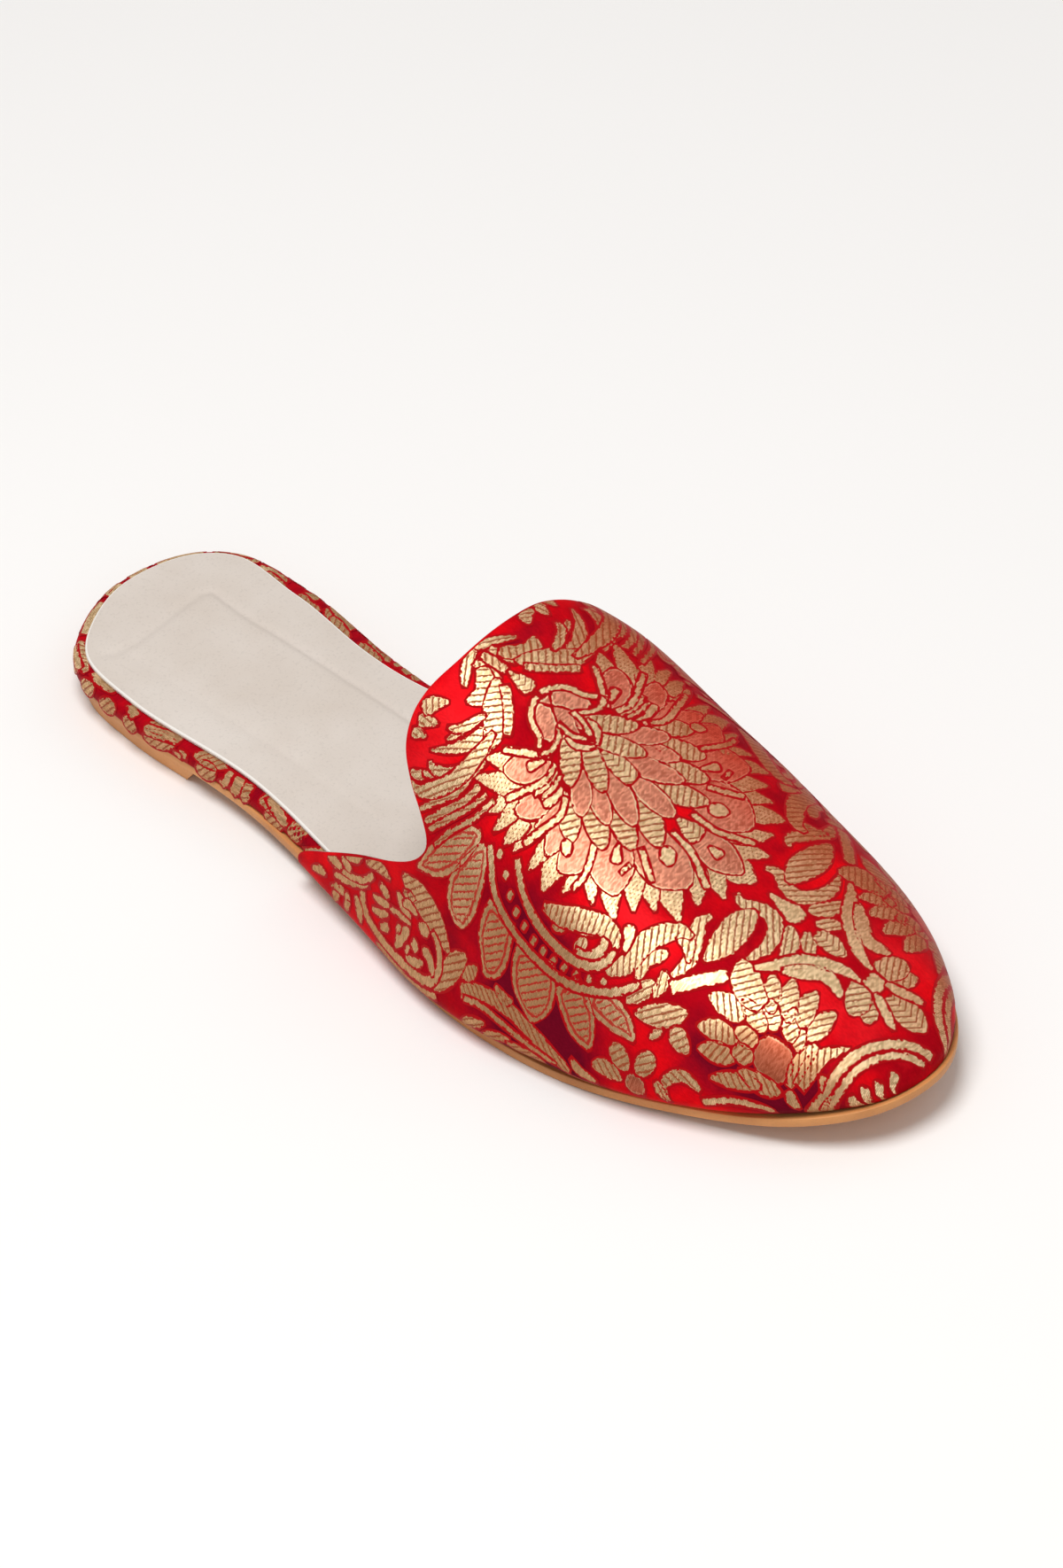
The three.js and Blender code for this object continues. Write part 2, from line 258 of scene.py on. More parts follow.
def insole_inset(station):
    """The insole leaves an even margin, or a gap inside the footbed's edge where that lies further in."""
    margin = np.maximum(INSOLE_MARGIN, footbed_inset(station) + GAP)
    return margin + INSOLE_TOE_INSET * ease(*TOE_STEP, station)


def insole_arch(station):
    """How much further in the insole lies on the arch side: a smooth rise at the heel, then a fall."""
    return ARCH_MARGIN * ease(*ARCH_RISE, station) * (1 - ease(*ARCH_FALL, station))


def further_in(inset, more):
    """An inset function that lies more millimetres further in."""
    return lambda station: inset(station) + more


def stepped_levels(inset, low, steps):
    """Levels from a short table: how many mm each lies further in, and how many over the height low."""
    return [(further_in(inset, inwards), low + up) for inwards, up in steps]


def rounded_levels(inset, centre, radius, degrees):
    """Levels of a rounded edge on a circle: further in by radius * (1 - cos), and up by radius * sin."""
    return [(further_in(inset, radius * (1 - np.cos(turn))), centre + radius * np.sin(turn))
            for turn in np.radians(degrees)]


# Meshes

def placed(points):
    """From (lateral, station, up) in mm to the part's axes in metres: lateral is -X and the toe is at -Y."""
    return ((WIDTH_MIDDLE, LENGTH / 2, 0) + points * (-1, -1, 1)) / 1000


def cloth_uv(across, along):
    """UV map from mm across and along the cloth."""
    return np.stack(np.broadcast_arrays(across, along), -1).reshape(-1, 2) / UV_MM


def grid_faces(rows, columns, close_columns=False, start=0, flip=False):
    """Quads between neighbouring points of a grid that is numbered row by row."""
    last = columns if close_columns else columns - 1
    i, j = np.meshgrid(np.arange(rows - 1), np.arange(last), indexing="ij")
    k = (j + 1) % columns
    faces = np.stack([i * columns + j, i * columns + k, (i + 1) * columns + k, (i + 1) * columns + j], -1)
    faces = faces.reshape(-1, 4) + start
    return faces[:, ::-1] if flip else faces


def welded(points, faces, values):
    """The same mesh with points that share a place made one."""
    keys = np.round(points / WELD).astype(np.int64)
    _, first, inverse = np.unique(keys, axis=0, return_index=True, return_inverse=True)
    return points[first], inverse.reshape(-1)[faces], {key: value[first] for key, value in values.items()}


def make_mesh(name, points, faces, material, values=None, stands_for=(), smooth=True, weld=False):
    points = np.ascontiguousarray(points, np.float32).reshape(-1, 3)
    faces = np.asarray(faces, np.int64)
    values = values or {}
    if weld:
        points, faces, values = welded(points, faces, values)
    differs = faces != np.roll(faces, -1, 1)
    opposite = (faces[:, 0] != faces[:, 2]) & (faces[:, 1] != faces[:, 3])
    keep = (differs.sum(1) >= 3) & opposite
    faces, differs = faces[keep], differs[keep]
    loops = faces[differs]
    totals = differs.sum(1)
    mesh = bpy.data.meshes.new(name)
    mesh.vertices.add(len(points))
    mesh.vertices.foreach_set("co", points.ravel())
    mesh.loops.add(len(loops))
    mesh.loops.foreach_set("vertex_index", loops.astype(np.int32))
    mesh.polygons.add(len(faces))
    mesh.polygons.foreach_set("loop_start", np.r_[0, np.cumsum(totals)[:-1]].astype(np.int32))
    mesh.polygons.foreach_set("loop_total", totals.astype(np.int32))
    mesh.update(calc_edges=True)
    for key, value in values.items():
        if key == "UVMap":
            layer = mesh.uv_layers.new(name="UVMap")
            layer.data.foreach_set("uv", np.ascontiguousarray(value[loops], np.float32).ravel())
        else:
            attribute = mesh.attributes.new(key, "FLOAT", "POINT")
            attribute.data.foreach_set("value", np.ascontiguousarray(value, np.float32))
    mesh.polygons.foreach_set("use_smooth", np.full(len(faces), smooth))
    mesh.validate()
    mesh.materials.append(material)
    piece = bpy.data.objects.new(name, mesh)
    bpy.context.scene.collection.objects.link(piece)
    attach(piece, "root")
    if stands_for:
        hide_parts(*stands_for)
    return piece


def closed_sheet(front, back):
    """Points and faces of a thin closed sheet: the front grid, the back grid behind it, and a strip of quads
    along each of the four edges. Grids are rows by columns by (lateral, station, up)."""
    rows, columns = front.shape[:2]
    points = np.concatenate([front.reshape(-1, 3), back.reshape(-1, 3)])
    count = rows * columns
    faces = [grid_faces(rows, columns), grid_faces(rows, columns, start=count, flip=True)]
    index = np.arange(count).reshape(rows, columns)
    for line in (index[0, ::-1], index[:, 0], index[-1], index[::-1, -1]):
        faces.append(np.stack([line[:-1], line[1:], line[1:] + count, line[:-1] + count], -1)[:, ::-1])
    return placed(points), np.concatenate(faces)


def layered(levels, rings, height, across=17, top=None, end=None, arch=np.zeros_like):
    """A layer of the bottom as a grid. Each level is (inset function, height). Each ring runs up the lateral
    edge through the levels, across the top, down the medial edge and back underneath. height(station, up)
    turns a level's height into one over the ground, top(x, station, z, share) shapes the top face, end gives
    the station where each level ends if that isn't the tip, and arch(station) moves the medial edge in."""
    share = np.linspace(0, 1, rings + 1)
    left, right = [], []
    for number, (inset, up) in enumerate(levels):
        plan = Plan(inset)
        station = plan.between(plan.start, end[number] if end else plan.tip, share)
        z = height(station, up)
        left.append(np.stack([plan.lateral(station), station, z], -1))
        right.append(np.stack([plan.medial(station) + arch(station), station, z], -1))
    t = np.linspace(0, 1, across + 2)[1:-1]

    def strip(level, shares):
        """Straight lines from the lateral to the medial edge of a level."""
        return left[level][:, None] + (right[level] - left[level])[:, None] * shares[:, None]

    over, under = strip(-1, t), strip(0, t[::-1])
    if top:
        over[..., 2] = top(over[..., 0], over[..., 1], over[..., 2], t)
    return placed(np.concatenate([np.stack(left, 1), over, np.stack(right[::-1], 1), under], 1))


def layer_faces(grid, capped=False):
    """Faces of a layer: closed rings, and a fan of quads over the open end if it is capped."""
    rows, columns = grid.shape[:2]
    faces = [grid_faces(rows, columns, close_columns=True, flip=True)]
    if capped:
        last = (rows - 1) * columns + np.arange(columns)
        half = columns // 2
        one, two = last[:half + 1], last[half:][::-1]
        two = np.r_[last[0], two][:half + 1]
        faces.append(np.stack([one[:-1], one[1:], two[1:], two[:-1]], -1))
    return np.concatenate(faces)


# The upper

Fold = namedtuple("Fold", "across along turn length width depth shade")

# Soft hollows (+) and ridges (-) of the upper: mm across the crest and along it, turn in degrees, length,
# width and depth in mm, and how much painted shade (+) or painted highlight (-) goes into the cloth's colour
# there
FOLDS = (
    Fold(-56, 56, 80, 21, 16, 1.1, 1.2),
    Fold(-66, 60, 60, 14, 8, 0.4, 0.5),
    Fold(-40, 50, 85, 15, 7, 0.3, 0.55),
    Fold(-33, 104, 67, 24, 7, 0.6, 0.95),
    Fold(-30, 122, 30, 20, 8, 0.3, 0.55),
    Fold(-26, 111, 70, 11, 7, 0.0, 0.9),
    Fold(-66, 22, 84, 16, 6, 0.5, 0.4),
    Fold(-78, 0, 88, 30, 7, 0.2, 0.35),
    Fold(-38, 20, 10, 12, 6, 0.3, 0.5),
    Fold(-12, 42, 80, 18, 9, 0.2, 0.3),
    Fold(10, 16, 20, 12, 8, 0.25, 0.45),
    Fold(0, 72, 0, 14, 6, 0.2, 0.3),
    Fold(-3, 6, 0, 10, 4, 0.0, 0.8),
    Fold(33, 50, 88, 50, 9, 0.5, 0.6),
    Fold(30, 118, 60, 18, 9, 0.3, 0.2),
    Fold(-26, 68, 60, 12, 8, -0.4, -0.5),
    Fold(-42, 86, 60, 14, 6, -0.4, -0.4),
    Fold(-25, 5, 0, 22, 9, -0.25, -0.4),
    Fold(-9, 113, 80, 16, 7, -0.3, -0.4),
    Fold(15, 112, 70, 14, 7, -0.2, -0.3),
)


def folds(p, q, measure):
    """Depth or painted shade (painted highlight where negative) of the cloth at p mm across the crest and q
    mm along it: a sum of bell-shaped folds, each value * e^-(u^2 + v^2), with u and v along and across the
    turned fold in its lengths and widths."""
    total = np.zeros(np.broadcast(p, q).shape)
    for fold in FOLDS:
        c, s = np.cos(np.radians(fold.turn)), np.sin(np.radians(fold.turn))
        u = ((p - fold.across) * c + (q - fold.along) * s) / fold.length
        v = (-(p - fold.across) * s + (q - fold.along) * c) / fold.width
        total += getattr(fold, measure) * np.exp(-u * u - v * v)
    return total


class UpperFace:
    """One face of the upper as a table over stations and shares of the girth. Each section is two quarter
    superellipses that meet at the crest, pushed out over the sole low down by level * e^(1 - level)."""

    def __init__(self, inside, rows=420, columns=361, angles=241):
        plan = Plan(lambda station: feather_inset(station) + inside)
        self.tip = plan.tip
        self.share = np.linspace(0, 1, rows)
        station = self.station_of(self.share)
        at = station / LENGTH
        near_tip = np.clip((station - TOE_CLOSE) / (self.tip - TOE_CLOSE), 0, 1)
        closing = np.sqrt(1 - near_tip**TOE_ROUNDNESS)
        height = (smooth_column(CREST, 1, at) * INSTEP_HEIGHT - inside) * closing
        lateral, medial = plan.lateral(station), plan.medial(station)
        width = lateral - medial
        crest = np.clip(smooth_column(CREST, 2, at) * BALL_WIDTH, medial + 0.2 * width, medial + 0.8 * width)
        angle = np.linspace(0, np.pi, angles)
        across, up = np.cos(angle), np.sin(angle)
        side = np.where(across > 0, 1, -1)
        full = np.where(side > 0, LATERAL_FULLNESS, MEDIAL_FULLNESS)
        radius = (np.abs(across) ** full + up**full) ** (-1 / full)
        half = np.where(side > 0, (lateral - crest)[:, None], (crest - medial)[:, None])
        z = height[:, None] * up * radius
        overhang = np.where(side > 0, LATERAL_OVERHANG, MEDIAL_OVERHANG) + feather_inset(station)[:, None]
        fade = np.sqrt(np.clip((self.tip - station) / OVERHANG_FADE, 0, 1))
        level = z / OVERHANG_HEIGHT
        push = side * overhang * fade[:, None] * level * np.exp(1 - level) * np.abs(across)
        x = crest[:, None] + half * across * radius + push
        length = np.cumsum(np.hypot(np.diff(x, axis=1), np.diff(z, axis=1)), 1)
        length = np.c_[np.zeros(rows), length]
        girth = np.linspace(0, 1, columns)
        wanted = girth * length[:, -1:]
        xs = np.stack([np.interp(*section) for section in zip(wanted, length, x)])
        zs = np.stack([np.interp(*section) for section in zip(wanted, length, z)])
        zs += over_sole(station, SOLE + GAP)[:, None]
        self.table = np.stack([xs, np.repeat(station[:, None], columns, 1), zs], -1)
        self.girth = length[:, -1]
        run = run_along(self.table[:, columns // 2])
        self.along = run - np.interp(self.share_of(CLOTH_START), self.share, run)
        p = (girth - 0.5) * self.girth[:, None]
        sink = folds(p, self.along[:, None], "depth")
        self.table = self.table - self.normals() * sink[..., None]
        self.normal = self.normals()

    def normals(self):
        """Outward normals of the table, from differences along its rows and columns."""
        normal = np.cross(np.gradient(self.table, axis=0), np.gradient(self.table, axis=1))
        normal[-1] = (0, 0.9, 0.3)
        return unit(normal)

    def station_of(self, share):
        """Station at a share of the rows, which lie closer and closer towards the tip."""
        return self.tip - (self.tip - FACE_START) * (1 - share) ** 2

    def share_of(self, station):
        """Share of the rows at a station, the reverse of station_of."""
        return 1 - np.sqrt(np.clip((self.tip - station) / (self.tip - FACE_START), 0, 1))

    def look_up(self, table, station, girth):
        """Bilinear value of a table at stations and shares of the girth."""
        rows, columns = table.shape[:2]
        r = np.clip(self.share_of(station) * (rows - 1), 0, rows - 1.001)
        c = np.clip(girth * (columns - 1), 0, columns - 1.001)
        i, j = r.astype(int), c.astype(int)
        a, b = (r - i)[..., None], (c - j)[..., None]
        return ((1 - a) * ((1 - b) * table[i, j] + b * table[i, j + 1])
                + a * ((1 - b) * table[i + 1, j] + b * table[i + 1, j + 1]))

    def at(self, station, girth, lift=0.0):
        """Point at a station and a share of the girth, lifted off the face along its normal."""
        point = self.look_up(self.table, station, girth)
        normal = self.look_up(self.normal, station, girth)
        return point + normal * np.asarray(lift)[..., None]

    def on_cloth(self, p, q):
        """(station, share of the girth) at p mm across the crest and q mm along it."""
        share = np.interp(q, self.along, self.share)
        return self.station_of(share), 0.5 + p / np.maximum(np.interp(share, self.share, self.girth), 1e-6)

    def cloth(self, station, girth):
        """(p, q) in mm on the cloth at a station and a share of the girth."""
        share = self.share_of(station)
        p = (girth - 0.5) * np.interp(share, self.share, self.girth)
        return p, np.interp(share, self.share, self.along)


@lru_cache
def upper_face(inside):
    """The outer (0) or inner (WALL) face of the upper, worked out once."""
    return UpperFace(inside)


def collar_station(girth):
    """Station where the upper starts at a share of the girth."""
    return smooth_column(COLLAR, 1, girth) * LENGTH


# Cloth pattern. The pattern's own axes are turned on the cloth: u runs from the pattern's middle line towards
# the lateral side and y towards the toe.
PATTERN_TURN = np.radians(4.95)
PATTERN_ACROSS = -6.2
# The pattern's middle line wanders a little on the stretched cloth: y, u
MIDDLE_LINE = np.array([
    (0, 2.0), (13, 2.0), (22, 1.6), (30, 1.0), (42, 0.0), (60, -0.8), (85, -1.3), (105, -0.8), (130, -0.4),
])
# How much lower the far half of the pattern lies per mm from the middle line: y, slope
FAR_SLOPE = np.array([(0, 0.085), (28, 0.085), (60, 0.02), (80, 0.0)])


def to_cloth(u, y):
    """From the pattern's axes to mm on the cloth: a turn about the start of the middle line."""
    c, s = np.cos(PATTERN_TURN), np.sin(PATTERN_TURN)
    return PATTERN_ACROSS - u * c + y * s, u * s + y * c


def middle_line(y):
    """Where the pattern's middle line lies, by straight lines between its rows."""
    return np.interp(y, MIDDLE_LINE[:, 0], MIDDLE_LINE[:, 1])


def mirrored(u, y):
    """The other half of the pattern: u mirrored in the middle line, and y shifted by its slope."""
    middle = middle_line(y)
    slope = np.interp(y, FAR_SLOPE[:, 0], FAR_SLOPE[:, 1])
    return 2 * middle - u, y + slope * 2 * (u - middle)


# Shapes of a woven figure: half its width by share of the way from the base to the tip
SHAPES = {
    "band": ((0, 0.9), (0.05, 1), (0.93, 1), (1, 0.55)),
    "leaf": ((0, 0.1), (0.14, 0.62), (0.32, 0.95), (0.5, 1), (0.68, 0.87), (0.85, 0.5), (1, 0.02)),
    "petal": ((0, 0.5), (0.2, 0.82), (0.45, 1), (0.65, 0.96), (0.85, 0.58), (1, 0.04)),
    "scale": ((0, 0.4), (0.18, 0.78), (0.42, 1), (0.66, 0.96), (0.85, 0.64), (0.95, 0.3), (1, 0.04)),
    "drop": ((0, 0.05), (0.3, 0.5), (0.6, 0.9), (0.8, 1), (0.93, 0.75), (1, 0.15)),
    "oval": ((0, 0.1), (0.06, 0.5), (0.2, 0.85), (0.5, 1), (0.8, 0.85), (0.94, 0.5), (1, 0.1)),
    "spear": ((0, 0.2), (0.25, 0.66), (0.5, 0.95), (0.68, 1), (0.84, 0.8), (0.94, 0.44), (1, 0.03)),
    "heart": ((0, 0.8), (0.2, 0.96), (0.42, 1), (0.62, 0.92), (0.78, 0.66), (0.9, 0.34), (1, 0.02)),
    "tooth": ((0, 0.7), (0.2, 0.95), (0.4, 1), (0.7, 0.62), (0.9, 0.25), (1, 0.03)),
    "tail": ((0, 0.3), (0.25, 0.95), (0.5, 1), (0.8, 0.8), (1, 0.2)),
}

Motif = namedtuple("Motif", "shape width slant spine")


def lined(*rows):
    """Figures with hatch lines. A row has the outline's shape, its width in mm, the slant of its lines in
    degrees, and then the points (u, y) of its middle line from base to tip."""
    return tuple(Motif(shape, width, slant, spine) for shape, width, slant, *spine in rows)


def unlined(*rows):
    """Figures without hatch lines. A row has the outline's shape, its width in mm, and then the points (u,
    y) of its middle line from base to tip."""
    return tuple(Motif(shape, width, 0, spine) for shape, width, *spine in rows)


# Plain gold figures: the arch, stems, branches and outlines
GOLD_PLAIN = unlined(
    # bell flower: outline, foot, tongue
    ("band", 1.3, (1.8, 18.1), (5, 18.8), (7.6, 21), (8.9, 24.5), (11.3, 26.2)),
    ("band", 1.1, (3.9, 26.3), (6.2, 28), (9, 28.4), (12, 26.6)),
    ("band", 1.0, (3.5, 25.4), (3.1, 29.6), (1.0, 33)),
    ("tail", 1.4, (4.3, 28.6), (3.9, 32), (0.7, 35.4)),
    # gold drops inside the upper side petals, and the lines under them
    ("drop", 1.9, (11.2, 29), (13.5, 27.6), (15.8, 26.3)),
    ("band", 1.2, (10, 31), (14, 31.6), (18, 29.9), (24, 26)),
    ("band", 1.0, (10.3, 32.3), (14.5, 32.5), (19, 31.2)),
    ("band", 0.9, (10.6, 33.5), (14.5, 33.9), (18.6, 33)),
    ("drop", 2.1, (11.8, 35), (15, 35.8), (19, 34.2)),
    ("band", 1.3, (13.4, 37.3), (17.5, 39), (23, 37.2), (28.2, 35.2)),
    ("band", 1.3, (9.6, 29.4), (12, 26.2), (14.6, 22.4), (16.6, 19)),
    ("band", 1.2, (16.8, 48.9), (20, 50.3), (24, 51.4), (28, 50.6)),
    ("band", 1.3, (10.4, 57.2), (12.4, 60.6), (15.2, 64.6)),
    ("band", 1.4, (2.6, 59.6), (3, 65.5), (5, 70), (7.6, 74.6)),
    ("leaf", 2.6, (20.5, 42.8), (21.6, 44.2), (23.1, 46)),
    ("drop", 2.5, (12.8, 53), (15, 54.2), (17.4, 55.6)),
    ("leaf", 3.6, (5.8, 61.4), (7.6, 63), (9.4, 65.2)),
    ("drop", 2.6, (-0.9, 67.6), (-1, 69.6), (-1.1, 71.8)),
    ("band", 0.8, (14.8, 58.2), (18.4, 57.6)),
    # double branch
    ("band", 1.8, (30.6, 35.3), (34.5, 39), (37.5, 44), (39.2, 50), (39.4, 56), (38.3, 61), (35.6, 65),
     (31, 66.8)),
    ("band", 1.7, (32.8, 27.6), (36, 29.8), (40, 33.4), (42.7, 38.4), (44.4, 45), (44.9, 52), (44, 59),
      (41.4, 65.5), (38, 71), (33.4, 75.2)),
    ("drop", 2.9, (31.2, 68.5), (28, 67.8), (24.8, 66)),
    ("band", 2.0, (37.5, 57.6), (36.4, 61.4), (33.4, 63.3), (30.4, 63.2)),
    # straight stem, bottle, curved leaves, junction
    ("band", 2.7, (30.6, 81), (25.5, 85.8), (20.4, 90.6)),
    ("drop", 4.9, (-1.4, 84), (-1.3, 88), (-1.2, 94.4)),
    ("tail", 3.3, (16, 93.6), (12.6, 96.8), (8, 100), (4.6, 103.8), (2.3, 108.4), (1.2, 113.6)),
    ("tail", 3.6, (12.6, 98.6), (9.4, 102.4), (6.3, 107), (7.9, 113)),
    ("band", 4.2, (-0.8, 112.6), (-0.8, 118)),
    ("tail", 2.3, (1, 116.6), (2.8, 121), (5, 126)),
    ("tail", 2.6, (31.3, 114.6), (33.6, 118.6)),
    # toe arches and the buds under them
    ("band", 2.1, (2.2, 136), (4.4, 130.8), (9, 126.4), (14.5, 123.6), (21, 122.4), (28, 122.2), (35, 119.8)),
    ("band", 1.5, (4.8, 136), (7.2, 131.4), (12, 127.6), (18, 125.4), (25, 124.6), (33, 122.3)),
    ("drop", 2.4, (15.4, 134), (13.4, 133), (11.2, 131.8)),
    ("drop", 2.4, (19, 132.6), (17.2, 131.6), (15.2, 130.4)),
    ("drop", 2.4, (22.8, 130.4), (20.6, 129.8), (18.4, 128.6)),
    ("drop", 2.4, (26, 127), (23.8, 127.8), (21.8, 128.8)),
    ("drop", 1.7, (26.8, 121.5), (25, 120.8), (23.2, 119.9)),
    # lines at the far edge
    ("band", 1.3, (46.5, 97.5), (42, 103.6), (39, 109.6), (37.8, 113.8)),
    ("band", 1.2, (66.4, 31), (63.9, 37), (63, 45), (62.4, 52), (61.2, 62)),
    ("tail", 2.1, (57, 64.8), (58.3, 68.6), (57.6, 73.4)),
    # round frame on the wing and the twigs over it
    ("band", 2.1, (66, -9), (70, -8), (73, -4), (74.6, 2), (74.6, 9), (73.4, 15), (71, 19.3), (67, 21.2),
      (63, 20), (60.8, 16.6)),
    ("tail", 2.2, (64.8, 1.4), (65.4, -2), (65.6, -5.4)),
    ("tail", 2.1, (67, 1.6), (68.2, -2), (68.7, -5.4)),
    ("tail", 2.3, (63.6, 1), (62.2, -1), (61, -3.2)),
    ("tail", 2.3, (69.2, 2), (70.6, 0), (71.6, -2)),
    ("tail", 2.7, (63.2, 9.4), (62.2, 6), (59.4, 3.6)),
    ("leaf", 3.0, (65.4, 9), (69, 6.6), (73.2, 4.6)),
    ("tail", 2.6, (66.4, 12.6), (68, 11.6), (70, 11)),
    ("band", 1.5, (65, 1), (64.7, 5), (64.6, 9.6)),
    ("tail", 2.7, (67.4, 14), (66.8, 17), (70, 19.8)),
    ("leaf", 3.0, (62, 16.2), (62.6, 14), (63.4, 11.4)),
    ("band", 1.7, (63.3, -6.4), (66.2, -12), (67.8, -20)),
    ("band", 1.6, (60.2, -5), (63.8, -9), (65.2, -15), (65.2, -21)),
    ("tail", 2.4, (63.8, -13), (63, -15.4), (61, -17)),
    ("tail", 2.4, (65.4, -16.6), (64.4, -19), (64.8, -22.4)),
    ("leaf", 2.2, (69.2, -21.8), (69, -25), (70, -28)),
    ("band", 1.6, (75.6, -3), (77.3, 3), (77.3, 10), (75.8, 16.4), (72.8, 22.2)),
    ("leaf", 2.6, (68.6, -11.6), (71.6, -9.6), (75, -8.8)),
    ("tail", 2.1, (69, -14.8), (72, -14.2), (75.2, -15)),
    ("leaf", 2.6, (57.2, -9.4), (60, -12.4), (61.4, -16.6)),
    ("tail", 2.2, (62, -19), (60, -22), (61, -25.4)),
    ("leaf", 2.4, (68.6, -18.4), (72, -18.4), (75.4, -20)),
    ("oval", 2.6, (67.6, 4), (68.2, 6.4)),
    ("oval", 2.4, (70.2, 8), (70.8, 10.2)),
    ("tail", 2.1, (61.6, 5.4), (60.4, 8.4), (61.4, 11.6)),
    ("leaf", 2.4, (72.4, 8.6), (71.6, 12.4), (69.2, 15.8)),
    ("leaf", 2.0, (71, -13), (70.2, -17), (71, -21)),
)

